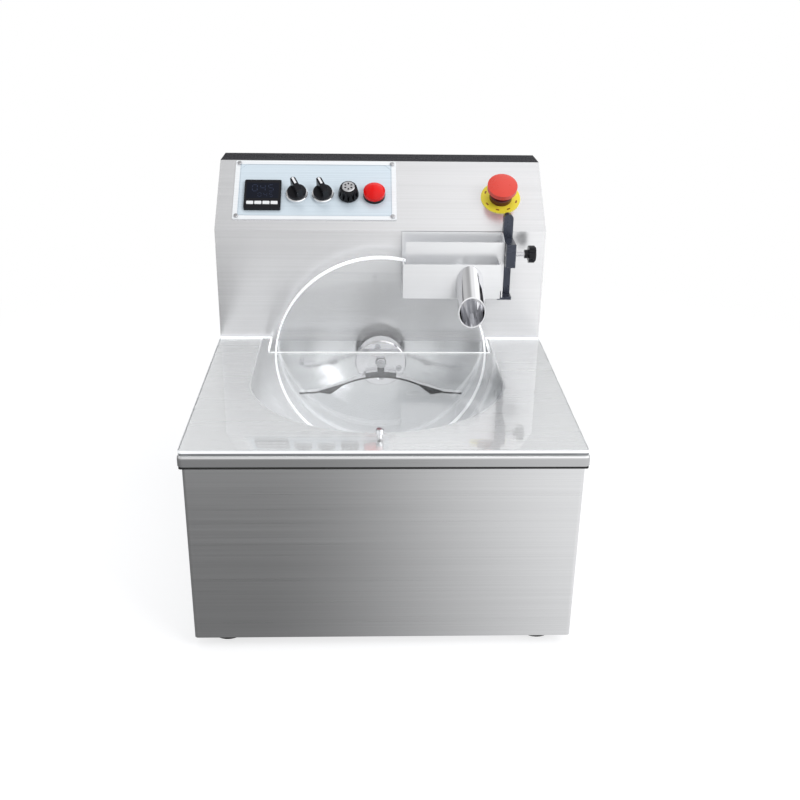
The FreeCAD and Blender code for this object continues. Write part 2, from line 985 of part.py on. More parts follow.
def melting_tank():
    outer = tank_form("tank_outside", tank_radius + S.metal, S.tank_straight + S.metal)
    inner = tank_form("tank_inside", tank_radius, S.tank_straight)
    shaft_hole = cylinder("tank_shaft_hole", S.spigot_radius, through)
    place(shaft_hole, 0, wall_y + S.metal * 2, axle_z)
    turn(shaft_hole, Vector(1, 0, 0), 90)
    probe_hole = cylinder("tank_probe_hole", S.probe_radius, through)
    place(probe_hole, -S.probe_x, wall_y + S.metal * 2, axle_z - S.probe_drop)
    turn(probe_hole, Vector(1, 0, 0), 90)
    keep(cut("melting_tank", outer, [inner, shaft_hole, probe_hole]), "melting_tank")


def heater_mat():
    """Curved heating mat under the tank's half-cylinder."""
    body = new_body("heater_mat")
    inside = tank_radius + S.metal
    outside = inside + S.heater_thickness
    sketch = new_sketch(body, "XZ_Plane", "heater_section", S.heater_margin)
    c = cosine(S.heater_angle)
    s = sine(S.heater_angle)
    outline(sketch, [
        (-inside * c, -inside * s),
        (-outside * c, -outside * s),
        (outside * c, -outside * s),
        (inside * c, -inside * s),
    ], {1: (0, 0, 1), 3: (0, 0, -1)})
    pad(body, sketch, S.tank_straight - S.heater_margin * 2)
    place(body, S.tank_x, wall_y, axle_z)
    keep(body, "heater_mat")


def temperature_probe():
    """Steel sheath through the tank's rear wall, held by a gland behind it."""
    body = new_body("temperature_probe")
    sketch = new_sketch(body, "YZ_Plane", "probe_profile")
    tip = -S.probe_reach
    outline(sketch, [
        (tip, 0),
        (tip, S.probe_radius - S.small_edge),
        (tip + S.small_edge, S.probe_radius),
        (S.metal, S.probe_radius),
        (S.metal, S.gland_radius),
        (S.metal + S.gland_length, S.gland_radius),
        (S.metal + S.gland_length, S.probe_radius),
        (S.metal + S.probe_tail, S.probe_radius),
        (S.metal + S.probe_tail, 0),
    ])
    revolve(body, sketch, "H_Axis")
    place(body, -S.probe_x, wall_y, axle_z - S.probe_drop)
    keep(body, "temperature_probe")


def rear_housing():
    """Folded housing: upright wall, leaning control panel, roof and sides, open behind."""
    body = new_body("housing_shell")
    low = S.plate_height - S.lip_height
    side = new_sketch(body, "YZ_Plane", "housing_side")
    panel_top_y = wall_y + panel_back
    outline(side, [
        (wall_y, low),
        (cover_y, low),
        (cover_y, roof_z),
        (panel_top_y, roof_z),
        (wall_y, crease_z),
    ])
    pad(body, side, housing_x * 2, both=True)
    inner = new_sketch(body, "YZ_Plane", "housing_hollow")
    front = wall_y + S.metal
    top = roof_z - S.metal
    lean = S.panel_lean
    sunk = S.metal / cosine(lean)
    grade = cosine(lean) / sine(lean)
    inner_crease_z = crease_z - S.metal / sine(lean) + S.metal * grade
    inner_top_y = panel_top_y + sunk - S.metal * sine(lean) / cosine(lean)
    outline(inner, [
        (front, low),
        (cover_y, low),
        (cover_y, top),
        (inner_top_y, top),
        (front, inner_crease_z),
    ])
    pocket(body, inner, (housing_x - S.metal) * 2, both=True)
    skirt = new_sketch(body, "YZ_Plane", "housing_skirt")
    rectangle(skirt, wall_y, low, wall_y + S.metal, S.plate_height)
    pocket(body, skirt, (housing_x - S.metal) * 2, both=True)
    flange = new_sketch(body, "XZ_Plane", "housing_flange", -cover_y)
    out = housing_x - S.metal
    outline(flange, [
        (-out, S.plate_height),
        (-out + S.back_flange, S.plate_height),
        (-out + S.back_flange, top - S.back_flange),
        (out - S.back_flange, top - S.back_flange),
        (out - S.back_flange, S.plate_height),
        (out, S.plate_height),
        (out, top),
        (-out, top),
    ])
    pad(body, flange, S.metal)
    tools = [panel_hole(f"housing_hole_{number}", x, rise, radius)
             for number, (x, rise, radius) in enumerate(panel_holes(), 1)]
    opening = box("housing_controller_hole", controller_hole, controller_hole, through)
    rise = S.control_rise - S.controller_drop - controller_hole / 2
    place_on_panel(opening, S.controller_x - controller_hole / 2, rise, -S.metal * 2)
    tools.append(opening)
    for number, height in enumerate(post_screw_heights(), 1):
        hole = cylinder(f"housing_post_hole_{number}", S.post_screw_radius + S.hole_gap, through)
        place(hole, S.post_left + S.post_width / 2, wall_y + S.metal * 2, above(height))
        turn(hole, Vector(1, 0, 0), 90)
        tools.append(hole)
    tools += [cover_hole(f"housing_cover_hole_{number}", x, z, S.small_screw_radius)
              for number, (x, z) in enumerate(cover_screw_places(), 1)
              if z.value > S.plate_height.value]
    keep(cut("rear_housing", body, tools), "rear_housing")


def control_x(number):
    return S.first_switch_x + S.control_pitch * number


def label_screw_places():
    half_x = S.label_width / 2 - S.label_screw_inset
    half_y = S.label_height / 2 - S.label_screw_inset
    return [(S.label_x + half_x * x, S.label_rise + half_y * y) for x in (-1, 1) for y in (-1, 1)]


def panel_holes():
    holes = [(control_x(number), S.control_rise, barrel_hole) for number in (0, 1, 3)]
    holes.append((control_x(2), S.control_rise, S.pot_bush_radius + S.hole_gap))
    holes.append((S.stop_x, S.stop_rise, barrel_hole))
    holes += [(x, rise, screw_hole) for x, rise in label_screw_places()]
    return holes


def panel_hole(label, x, rise, radius):
    tool = cylinder(label, radius, through)
    place_on_panel(tool, x, rise, -S.metal * 2)
    return tool


def post_screw_heights():
    return [S.post_bottom + S.post_screw_inset, S.post_top - S.post_screw_inset]


def rear_cover():
    """Flat cover with two columns of pressed louvres and the hole for the mains inlet."""
    body = new_body("cover_sheet")
    half = cabinet_x - S.cover_margin
    top = roof_z - S.cover_margin
    sheet_sketch = new_sketch(body, "XZ_Plane", "cover_outline", -cover_outer_y)
    rectangle(sheet_sketch, -half, S.cover_bottom, half, top)
    pad(body, sheet_sketch, S.thin_metal)
    slot = new_sketch(body, "XZ_Plane", "cover_slot", -cover_outer_y)
    for side in (-1, 1):
        middle_x = S.louvre_column * side
        rectangle(slot, middle_x - S.louvre_length / 2, S.louvre_bottom,
                  middle_x + S.louvre_length / 2, S.louvre_bottom + S.louvre_slot)
    slots = pocket(body, slot, S.thin_metal, back=True)
    hoods = []
    for number, side in enumerate((-1, 1), 1):
        hood = new_sketch(body, "YZ_Plane", f"cover_hood_{number}",
                          S.louvre_column * side - S.louvre_length / 2)
        outline(hood, [
            (cover_outer_y, S.louvre_bottom + S.louvre_slot),
            (cover_outer_y + S.louvre_depth, S.louvre_bottom + S.louvre_lip),
            (cover_outer_y + S.louvre_depth, S.louvre_bottom),
            (cover_outer_y + S.louvre_depth - S.louvre_lip, S.louvre_bottom),
            (cover_outer_y, S.louvre_bottom + S.louvre_slot - S.louvre_lip),
            (cover_outer_y - S.thin_metal, S.louvre_bottom + S.louvre_slot),
            (cover_outer_y - S.thin_metal, S.louvre_bottom + S.louvre_height),
            (cover_outer_y, S.louvre_bottom + S.louvre_height),
        ])
        hoods.append(pad(body, hood, S.louvre_length))
    along(body, [slots] + hoods, slot, S.louvre_pitch * (S.louvre_count - 1), S.louvre_count, "V_Axis")
    tools = [cover_hole(f"cover_hole_{number}", x, z, screw_hole)
             for number, (x, z) in enumerate(cover_screw_places(), 1)]
    inlet = box("cover_inlet_hole", S.inlet_body_width + S.hole_gap * 2, through,
                S.inlet_body_height + S.hole_gap * 2)
    place(inlet, S.inlet_x - S.inlet_body_width / 2 - S.hole_gap, cover_y - S.thin_metal,
          S.inlet_z - S.inlet_body_height / 2 - S.hole_gap)
    tools.append(inlet)
    keep(cut("rear_cover", body, tools), "rear_cover")


def cover_hole(label, x, z, radius):
    """A cylinder through the cover and the flange in front of it."""
    tool = cylinder(label, radius, S.small_screw_length)
    place(tool, x, cover_outer_y + S.small_edge, z)
    turn(tool, Vector(1, 0, 0), 90)
    return tool


def cover_screw_places():
    x = cabinet_x - S.metal - S.back_flange / 2
    places = [(x * side, S.cover_screw_bottom + S.cover_screw_pitch * number)
              for side in (-1, 1) for number in range(round(S.cover_screw_rows.value))]
    top = roof_z - S.metal - S.back_flange / 2
    places += [(S.cover_top_screw_x * side, top) for side in (-1, 1)]
    return places


def small_screw_form(label, length):
    """Pan-head screw along -Z, its head standing on Z zero."""
    body = new_body(label)
    sketch = new_sketch(body, "XZ_Plane", label + "_profile")
    outline(sketch, [
        (0, -length),
        (S.small_screw_radius, -length),
        (S.small_screw_radius, 0),
        (S.small_head_radius, 0),
        (S.small_head_radius, S.small_head_height / 2),
        (S.small_head_radius - S.small_head_height / 2, S.small_head_height),
        (0, S.small_head_height),
    ], {4: (S.small_head_radius - S.small_head_height / 2, S.small_head_height / 2, 1)})
    revolve(body, sketch, "V_Axis")
    return body


def screws():
    """Cover screws and label screws, all of one pattern."""
    form = small_screw_form("cover_screw_form", S.small_screw_length)

    def behind(x, z):
        def placer(obj):
            place(obj, x, cover_outer_y, z)
            turn(obj, Vector(1, 0, 0), as_size(-90))
        return placer

    places = [behind(x, z) for x, z in cover_screw_places()]
    places += [placer_on_panel(x, rise, S.label_thickness) for x, rise in label_screw_places()]
    keep(copies("panel_screws", form, places), "panel_screws")


def label_plate():
    """Raised-border fascia with clipped inner corners and the holes for the controls."""
    body = new_body("label_plate")
    half_x = S.label_width / 2
    half_y = S.label_height / 2
    blank = new_sketch(body, "XY_Plane", "label_blank")
    rounded(blank, -half_x, -half_y, half_x, half_y, S.label_corner)
    pad(body, blank, S.label_thickness)
    recess = new_sketch(body, "XY_Plane", "label_recess_outline", S.label_thickness)
    x = half_x - S.label_border
    y = half_y - S.label_border
    clip = S.label_clip
    outline(recess, [
        (-x + clip, -y), (x - clip, -y), (x, -y + clip), (x, y - clip),
        (x - clip, y), (-x + clip, y), (-x, y - clip), (-x, -y + clip),
    ])
    pocket(body, recess, S.label_recess)
    holes = new_sketch(body, "XY_Plane", "label_holes", S.label_thickness)
    drop = S.control_rise - S.label_rise
    for number in (0, 1, 3):
        circle(holes, control_x(number) - S.label_x, drop, barrel_hole)
    circle(holes, control_x(2) - S.label_x, drop, S.pot_bush_radius + S.hole_gap)
    for screw_x, screw_rise in label_screw_places():
        circle(holes, screw_x - S.label_x, screw_rise - S.label_rise, screw_hole)
    reach = controller_hole / 2
    centre = S.controller_x - S.label_x
    low = drop - S.controller_drop
    rectangle(holes, centre - reach, low - reach, centre + reach, low + reach)
    pocket(body, holes, S.label_thickness)
    place_on_panel(body, S.label_x, S.label_rise)
    keep(body, "label_plate")


def on_label(obj, number, spin=None):
    place_on_panel(obj, control_x(number), S.control_rise, label_face, spin)


def key_centre(number):
    return S.key_pitch * number - S.key_pitch * (S.key_count - 1) / 2


def controller():
    """Square temperature controller: bezel, case behind the panel, window and four keys."""
    body = new_body("controller_case")
    half = S.controller_side / 2
    face = new_sketch(body, "XY_Plane", "controller_bezel")
    rounded(face, -half, -half, half, half, S.controller_corner)
    pad(body, face, S.controller_height)

    def front_edge(edge):
        return near(middle(edge).z, S.controller_height.value)

    dress(body, "Chamfer", S.controller_corner / 2, front_edge)
    rear = new_sketch(body, "XY_Plane", "controller_rear")
    inner = S.controller_body / 2
    rectangle(rear, -inner, -inner, inner, inner)
    pad(body, rear, S.controller_depth, back=True)
    seat = new_sketch(body, "XY_Plane", "window_seat", S.controller_height)
    x = S.window_width / 2
    y = S.window_height / 2
    rectangle(seat, -x, S.window_rise - y, x, S.window_rise + y)
    pocket(body, seat, S.window_depth)
    keys = new_sketch(body, "XY_Plane", "key_holes", S.controller_height)
    gap = S.hole_gap
    for number in range(round(S.key_count.value)):
        centre = key_centre(number)
        rectangle(keys, centre - S.key_width / 2 - gap, -S.key_fall - S.key_height / 2 - gap,
                  centre + S.key_width / 2 + gap, -S.key_fall + S.key_height / 2 + gap)
    pocket(body, keys, S.key_depth)
    rise = S.control_rise - S.controller_drop
    place_on_panel(body, S.controller_x, rise, label_face)
    keep(body, "controller_case")

    window = new_body("controller_window")
    lens = new_sketch(window, "XY_Plane", "window_outline", S.controller_height - S.window_depth)
    rectangle(lens, -x, S.window_rise - y, x, S.window_rise + y)
    pad(window, lens, S.window_depth)
    place_on_panel(window, S.controller_x, rise, label_face)
    keep(window, "controller_window")

    bottom = S.controller_height - S.key_depth + S.key_travel + gap
    for number in range(round(S.key_count.value)):
        label = f"controller_key_{number + 1}"
        key = new_body(label)
        sketch = new_sketch(key, "XY_Plane", label + "_outline", bottom)
        centre = key_centre(number)
        rounded(sketch, centre - S.key_width / 2, -S.key_fall - S.key_height / 2,
                centre + S.key_width / 2, -S.key_fall + S.key_height / 2, S.controller_corner / 2)
        pad(key, sketch, S.controller_height + S.key_proud - bottom)
        place_on_panel(key, S.controller_x, rise, label_face)
        keep(key, label)


def barrel_profile(sketch, bore, bore_depth, height, radius, edge):
    """Half section of a panel control: bezel in front, threaded barrel behind, blind bore."""
    outline(sketch, [
        (bore, height),
        (radius - edge, height),
        (radius, height - edge),
        (radius, 0),
        (S.control_barrel_radius, 0),
        (S.control_barrel_radius, -S.control_barrel_length),
        (0, -S.control_barrel_length),
        (0, height - bore_depth),
        (bore, height - bore_depth),
    ])


def contact_block(body, name):
    block = new_sketch(body, "XY_Plane", name, -S.control_barrel_length)
    rectangle(block, -S.block_width / 2, -S.block_height / 2, S.block_width / 2, S.block_height / 2)
    pad(body, block, S.block_depth, back=True)


def selector_switches():
    body = new_body("selector_form")
    section = new_sketch(body, "XZ_Plane", "selector_section")
    bore = S.knob_stem_radius + S.running_gap
    barrel_profile(section, bore, S.knob_stem_length + S.seat_gap, S.bezel_height, S.bezel_radius,
                   S.bezel_edge)
    revolve(body, section, "V_Axis")
    contact_block(body, "selector_block")
    rise = S.control_rise
    places = [placer_on_panel(control_x(number), rise, label_face) for number in (0, 1)]
    keep(copies("selector_bodies", body, places), "selector_bodies")

    for number, label in enumerate(("heat_knob", "motor_knob")):
        knob = new_body(label)
        base = new_sketch(knob, "XZ_Plane", label + "_section")
        low = S.bezel_height + S.seat_gap
        high = low + S.knob_base
        outline(base, [
            (0, low - S.knob_stem_length),
            (S.knob_stem_radius, low - S.knob_stem_length),
            (S.knob_stem_radius, low),
            (S.knob_radius, low),
            (S.knob_radius, high - S.small_edge),
            (S.knob_radius - S.small_edge, high),
            (0, high + S.small_edge),
        ])
        revolve(knob, base, "V_Axis")
        lever = new_sketch(knob, "XY_Plane", label + "_lever", low + S.small_edge)
        half = S.lever_width / 2
        outline(lever, [
            (-half, -S.lever_back),
            (half, -S.lever_back),
            (half, S.lever_front - half),
            (-half, S.lever_front - half),
        ], {2: (0, S.lever_front - half, 1)})
        pad(knob, lever, S.knob_base + S.lever_height)

        def crest(edge, top=(low + S.small_edge + S.knob_base + S.lever_height).value):
            return near(middle(edge).z, top)

        dress(knob, "Chamfer", S.lever_edge, crest)
        on_label(knob, number, S.lever_angle)
        keep(knob, label)


def speed_control():
    """Potentiometer through the panel, its fluted knob and the knob's bright cap."""
    body = new_body("speed_pot")
    bore = S.pot_shaft_radius + S.running_gap
    back = -(label_face + S.metal)
    section = new_sketch(body, "XZ_Plane", "pot_section")
    outline(section, [
        (bore, S.pot_washer_height),
        (bore, back - S.pot_depth / 2),
        (0, back - S.pot_depth / 2),
        (0, back - S.pot_depth),
        (S.pot_radius, back - S.pot_depth),
        (S.pot_radius, back),
        (S.pot_bush_radius, back),
        (S.pot_bush_radius, 0),
        (S.pot_washer_radius, 0),
        (S.pot_washer_radius, S.pot_washer_height),
    ])
    revolve(body, section, "V_Axis")
    on_label(body, 2)
    keep(body, "speed_pot")

    knob = new_body("speed_knob")
    low = S.pot_washer_height + S.seat_gap
    high = low + S.speed_knob_height
    turned = new_sketch(knob, "XZ_Plane", "speed_knob_section")
    outline(turned, [
        (0, back - S.pot_depth / 2 + S.seat_gap),
        (S.pot_shaft_radius, back - S.pot_depth / 2 + S.seat_gap),
        (S.pot_shaft_radius, low),
        (S.speed_knob_radius, low),
        (S.speed_knob_radius, low + S.speed_knob_skirt),
        (S.speed_knob_neck, high - S.small_edge),
        (S.speed_knob_neck - S.small_edge, high),
        (0, high),
    ])
    revolve(knob, turned, "V_Axis")
    flute = new_sketch(knob, "XY_Plane", "speed_knob_flute", high)
    circle(flute, S.speed_knob_neck + S.flute_radius / 2, 0, S.flute_radius)
    first = pocket(knob, flute, S.speed_knob_height - S.speed_knob_skirt)
    around(knob, first, flute, S.speed_flutes)
    on_label(knob, 2)
    keep(knob, "speed_knob")

    cap = new_body("speed_knob_cap")
    disc = new_sketch(cap, "XZ_Plane", "cap_section")
    outline(disc, [
        (0, high),
        (S.cap_radius, high),
        (S.cap_radius, high + S.cap_height / 2),
        (S.cap_radius - S.cap_height / 2, high + S.cap_height),
        (0, high + S.cap_height),
    ])
    revolve(cap, disc, "V_Axis")
    on_label(cap, 2)
    keep(cap, "speed_knob_cap")


def indicator_lamp():
    body = new_body("lamp_body")
    section = new_sketch(body, "XZ_Plane", "lamp_section")
    barrel_profile(section, S.lens_seat, S.lens_base, S.bezel_height, S.bezel_radius, S.bezel_edge)
    revolve(body, section, "V_Axis")
    on_label(body, 3)
    keep(body, "lamp_body")

    lens = new_body("lamp_lens")
    dome = new_sketch(lens, "XZ_Plane", "lens_section")
    low = S.bezel_height
    top = low + S.lens_height
    radius = S.lens_radius
    rise = S.lens_height - S.lens_wall
    ball = (radius * radius + rise * rise) / (rise * 2)
    outline(dome, [
        (0, low - S.lens_base),
        (S.lens_seat, low - S.lens_base),
        (S.lens_seat, low),
        (radius, low),
        (radius, low + S.lens_wall),
        (0, top),
    ], {4: (0, top - ball, 1)})
    revolve(lens, dome, "V_Axis")
    on_label(lens, 3)
    keep(lens, "lamp_lens")


def stop_button():
    """Emergency stop: plain ring, collar with contact block, sliding stem and twist-off head."""
    ring = new_body("stop_ring")
    plate = new_sketch(ring, "XY_Plane", "stop_ring_outline")
    circle(plate, 0, 0, S.stop_ring_radius)
    circle(plate, 0, 0, barrel_hole)
    pad(ring, plate, S.stop_ring_height)
    place_on_panel(ring, S.stop_x, S.stop_rise)
    keep(ring, "stop_ring")

    body = new_body("stop_body")
    section = new_sketch(body, "XZ_Plane", "stop_section")
    bore = S.stop_stem_radius + S.running_gap
    barrel_profile(section, bore, S.stop_stem_length, S.stop_collar_height, S.stop_collar_radius,
                   S.bezel_edge)
    revolve(body, section, "V_Axis")
    contact_block(body, "stop_block")
    place_on_panel(body, S.stop_x, S.stop_rise, S.stop_ring_height)
    keep(body, "stop_body")

    stem_low = S.stop_collar_height - S.stop_stem_length + S.stop_travel + S.stop_spare
    head_low = S.stop_collar_height + S.stop_travel + S.stop_spare
    stem = new_body("stop_stem")
    rod = new_sketch(stem, "XY_Plane", "stop_stem_section", stem_low)
    circle(rod, 0, 0, S.stop_stem_radius)
    pad(stem, rod, head_low + S.stop_head_height / 2 - stem_low)
    place_on_panel(stem, S.stop_x, S.stop_rise, S.stop_ring_height)
    keep(stem, "stop_stem")

    head = new_body("stop_head")
    half = new_sketch(head, "XZ_Plane", "stop_head_section")
    top = head_low + S.stop_head_height
    radius = S.stop_head_radius
    crown = S.stop_head_crown
    ball = (radius * radius + crown * crown) / (crown * 2)
    socket = S.stop_stem_radius + S.running_gap
    seat = head_low + S.stop_head_height / 2 + S.running_gap
    outline(half, [
        (0, seat),
        (socket, seat),
        (socket, head_low),
        (S.stop_neck_radius, head_low),
        (S.stop_neck_radius, head_low + S.stop_head_height / 4),
        (radius - S.small_edge, head_low + S.stop_head_height / 4),
        (radius, head_low + S.stop_head_height / 4 + S.small_edge),
        (radius, top),
        (0, top + crown),
    ], {7: (0, top + crown - ball, 1)})
    revolve(head, half, "V_Axis")
    place_on_panel(head, S.stop_x, S.stop_rise, S.stop_ring_height)
    keep(head, "stop_head")


def panel_nuts():
    """Ring nuts behind the panel on the threaded barrels."""
    nut = new_body("panel_nut_form")
    sketch = new_sketch(nut, "XY_Plane", "panel_nut_outline", -S.metal)
    circle(sketch, 0, 0, S.nut_radius)
    circle(sketch, 0, 0, S.control_barrel_radius)
    pad(nut, sketch, S.nut_height, back=True)
    notch = new_sketch(nut, "XY_Plane", "panel_nut_notch", -S.metal)
    rectangle(notch, S.nut_radius - S.nut_notch / 2, -S.nut_notch / 2,
              S.nut_radius + S.nut_notch / 2, S.nut_notch / 2)
    around(nut, pocket(nut, notch, S.nut_height), notch, S.nut_notches)
    places = [placer_on_panel(control_x(number), S.control_rise) for number in (0, 1, 3)]
    places.append(placer_on_panel(S.stop_x, S.stop_rise))
    keep(copies("panel_nuts", nut, places), "panel_nuts")


def dosing_disc():
    """Clear disc that dips into the chocolate and carries it up to the scraper."""
    body = new_body("dosing_disc")
    section = new_sketch(body, "YZ_Plane", "disc_section")
    back = -S.disc_gap
    front = back - S.disc_thickness
    edge = S.disc_edge
    rim = S.disc_radius
    outline(section, [
        (back, S.shaft_radius),
        (back, rim - edge),
        (back - edge, rim),
        (front + edge, rim),
        (front, rim - edge),
        (front, S.shaft_radius),
    ], {1: (back - edge, rim - edge, 1), 3: (front + edge, rim - edge, 1)})
    revolve(body, section, "H_Axis")
    hole = new_sketch(body, "XZ_Plane", "disc_screw_hole", -front)
    hub_hole(hole)
    around(body, pocket(body, hole, S.disc_thickness), hole, S.hub_screw_count)
    place_on_axle(body)
    keep(body, "dosing_disc")


def hub_hole(sketch, extra=0.0):
    x = S.hub_screw_circle * cosine(S.hub_screw_angle)
    z = S.hub_screw_circle * sine(S.hub_screw_angle)
    circle(sketch, x, z, S.hub_screw_radius + extra)


def hubs():
    """Front hub and rear flange, the screws that clamp the disc between them, and the pin that
    the stirring blade hangs from."""
    front = new_body("front_hub")
    section = new_sketch(front, "YZ_Plane", "front_hub_section")
    edge = S.hub_edge
    bore_end = hub_back - S.shaft_in_hub
    outline(section, [
        (hub_back, S.shaft_radius),
        (hub_back, S.hub_radius),
        (hub_front + edge, S.hub_radius),
        (hub_front, S.hub_radius - edge),
        (hub_front, S.pin_radius),
        (hub_front + S.pin_thread, S.pin_radius),
        (hub_front + S.pin_thread, 0),
        (bore_end, 0),
        (bore_end, S.shaft_radius),
    ])
    revolve(front, section, "H_Axis")
    hole = new_sketch(front, "XZ_Plane", "front_hub_hole", -hub_front)
    hub_hole(hole)
    around(front, pocket(front, hole, S.hub_length), hole, S.hub_screw_count)
    seat = new_sketch(front, "XZ_Plane", "front_hub_seat", -hub_front)
    hub_hole(seat, S.hub_head_radius - S.hub_screw_radius)
    around(front, pocket(front, seat, S.hub_head_sink), seat, S.hub_screw_count)
    place_on_axle(front)
    keep(front, "front_hub")

    rear = new_body("rear_hub")
    half = new_sketch(rear, "YZ_Plane", "rear_hub_section")
    back = -S.disc_gap
    flange = back + S.rear_hub_flange
    outline(half, [
        (back, S.shaft_radius),
        (rear_hub_back, S.shaft_radius),
        (rear_hub_back, S.rear_hub_boss),
        (flange, S.rear_hub_boss),
        (flange, S.rear_hub_radius - S.small_edge),
        (flange - S.small_edge, S.rear_hub_radius),
        (back, S.rear_hub_radius),
    ])
    revolve(rear, half, "H_Axis")
    thread = new_sketch(rear, "XZ_Plane", "rear_hub_hole", -back)
    hub_hole(thread)
    around(rear, pocket(rear, thread, S.rear_hub_flange), thread, S.hub_screw_count)
    place_on_axle(rear)
    keep(rear, "rear_hub")

    screw = new_body("hub_screw_form")
    profile = new_sketch(screw, "YZ_Plane", "hub_screw_section")
    socket = S.hub_socket_radius
    head = hub_front + S.hub_head_sink
    outline(profile, [
        (hub_front + S.hub_head_sink / 2, 0),
        (hub_front + S.hub_head_sink / 2, socket),
        (hub_front, socket),
        (hub_front, S.hub_head_radius),
        (head, S.hub_head_radius),
        (head, S.hub_screw_radius),
        (flange, S.hub_screw_radius),
        (flange, 0),
    ])
    revolve(screw, profile, "H_Axis")

    pin = new_body("pivot_pin_form")
    half_pin = new_sketch(pin, "YZ_Plane", "pivot_pin_section")
    neck = hub_front - S.seat_gap * 2 - S.hanger_thickness
    tip = neck - S.pin_head_height
    outline(half_pin, [
        (hub_front + S.pin_thread, 0),
        (hub_front + S.pin_thread, S.pin_radius),
        (neck, S.pin_radius),
        (neck, S.pin_head_radius),
        (tip + S.small_edge, S.pin_head_radius),
        (tip, S.pin_head_radius - S.small_edge),
        (tip, 0),
    ])
    revolve(pin, half_pin, "H_Axis")
    place_on_axle(pin)

    def at_angle(number):
        angle = S.hub_screw_angle + as_size(360) / S.hub_screw_count * number
        x = S.hub_screw_circle * cosine(angle)
        z = axle_z + S.hub_screw_circle * sine(angle)
        return placer_at(x, wall_y, z)

    turns = range(round(S.hub_screw_count.value))
    disc_screws = copies("hub_screws", screw, [at_angle(number) for number in turns])
    keep(together("wheel_fasteners", [disc_screws, pin]), "wheel_fasteners")


def shaft_line():
    """Seal, bearings and their housing on the rear wall, the wheel's shaft and its coupling."""
    housing = new_body("bearing_housing")
    section = new_sketch(housing, "YZ_Plane", "bearing_housing_section")
    outline(section, [
        (0, S.seal_radius),
        (0, S.spigot_radius),
        (S.metal, S.spigot_radius),
        (S.metal, S.bearing_flange_radius),
        (bearing_start, S.bearing_flange_radius),
        (bearing_start, S.bearing_barrel_radius),
        (barrel_end - S.small_edge, S.bearing_barrel_radius),
        (barrel_end, S.bearing_barrel_radius - S.small_edge),
        (barrel_end, S.bearing_radius),
        (bearing_start, S.bearing_radius),
        (bearing_start, S.bearing_shoulder),
        (S.seal_length, S.bearing_shoulder),
        (S.seal_length, S.seal_radius),
    ])
    revolve(housing, section, "H_Axis")
    hole = new_sketch(housing, "XZ_Plane", "bearing_housing_hole", -bearing_start)
    diagonal = S.stud_circle / root(as_size(2))
    circle(hole, diagonal, diagonal, S.stud_radius + S.hole_gap)
    around(housing, pocket(housing, hole, S.bearing_flange, back=True), hole, S.stud_count)
    place_on_axle(housing)
    keep(housing, "bearing_housing")

    seal = new_body("shaft_seal")
    ring = new_sketch(seal, "YZ_Plane", "seal_section")
    inside = S.shaft_radius + S.running_gap
    outline(ring, [
        (0, S.seal_radius),
        (0, inside + S.seal_lip),
        (S.seal_lip_start, inside),
        (S.seal_lip_start + S.seal_lip_width, inside),
        (S.seal_lip_start + S.seal_lip, inside + S.seal_lip),
        (S.seal_length, inside + S.seal_lip),
        (S.seal_length, S.seal_radius),
    ])
    revolve(seal, ring, "H_Axis")
    place_on_axle(seal)
    keep(seal, "shaft_seal")

    race = new_body("bearing_form")
    half = new_sketch(race, "YZ_Plane", "bearing_section")
    dip = S.bearing_groove
    third = (S.bearing_radius - inside) / 3
    width = S.bearing_width
    outline(half, [
        (0, inside),
        (0, inside + third),
        (dip, inside + third),
        (dip, S.bearing_radius - third),
        (0, S.bearing_radius - third),
        (0, S.bearing_radius),
        (width, S.bearing_radius),
        (width, S.bearing_radius - third),
        (width - dip, S.bearing_radius - third),
        (width - dip, inside + third),
        (width, inside + third),
        (width, inside),
    ])
    revolve(race, half, "H_Axis")
    first = wall_y + bearing_start
    second = first + S.bearing_width + S.bearing_spacing
    places = [placer_at(0, first, axle_z), placer_at(0, second, axle_z)]
    keep(copies("shaft_bearings", race, places), "shaft_bearings")

    shaft = new_body("wheel_shaft")
    rod = new_sketch(shaft, "YZ_Plane", "shaft_section")
    start = hub_back - S.shaft_in_hub
    finish = coupling_start + S.coupling_half
    outline(rod, [
        (start, 0),
        (start, S.shaft_radius - S.small_edge),
        (start + S.small_edge, S.shaft_radius),
        (finish, S.shaft_radius),
        (finish, 0),
    ])
    revolve(shaft, rod, "H_Axis")
    place_on_axle(shaft)
    keep(shaft, "wheel_shaft")

    coupling = new_body("shaft_coupling")
    sleeve = new_sketch(coupling, "YZ_Plane", "coupling_section")
    outline(sleeve, [
        (coupling_start, S.shaft_radius),
        (coupling_start, S.coupling_radius - S.small_edge),
        (coupling_start + S.small_edge, S.coupling_radius),
        (coupling_end - S.small_edge, S.coupling_radius),
        (coupling_end, S.coupling_radius - S.small_edge),
        (coupling_end, S.output_radius),
        (finish, S.output_radius),
        (finish, S.shaft_radius),
    ])
    revolve(coupling, sleeve, "H_Axis")
    place_on_axle(coupling)
    keep(coupling, "shaft_coupling")

    output = cylinder("output_shaft", S.output_radius,
                      gearbox_start + S.output_engaged - finish)
    place(output, 0, wall_y + gearbox_start + S.output_engaged, axle_z)
    turn(output, Vector(1, 0, 0), 90)
    keep(output, "output_shaft")


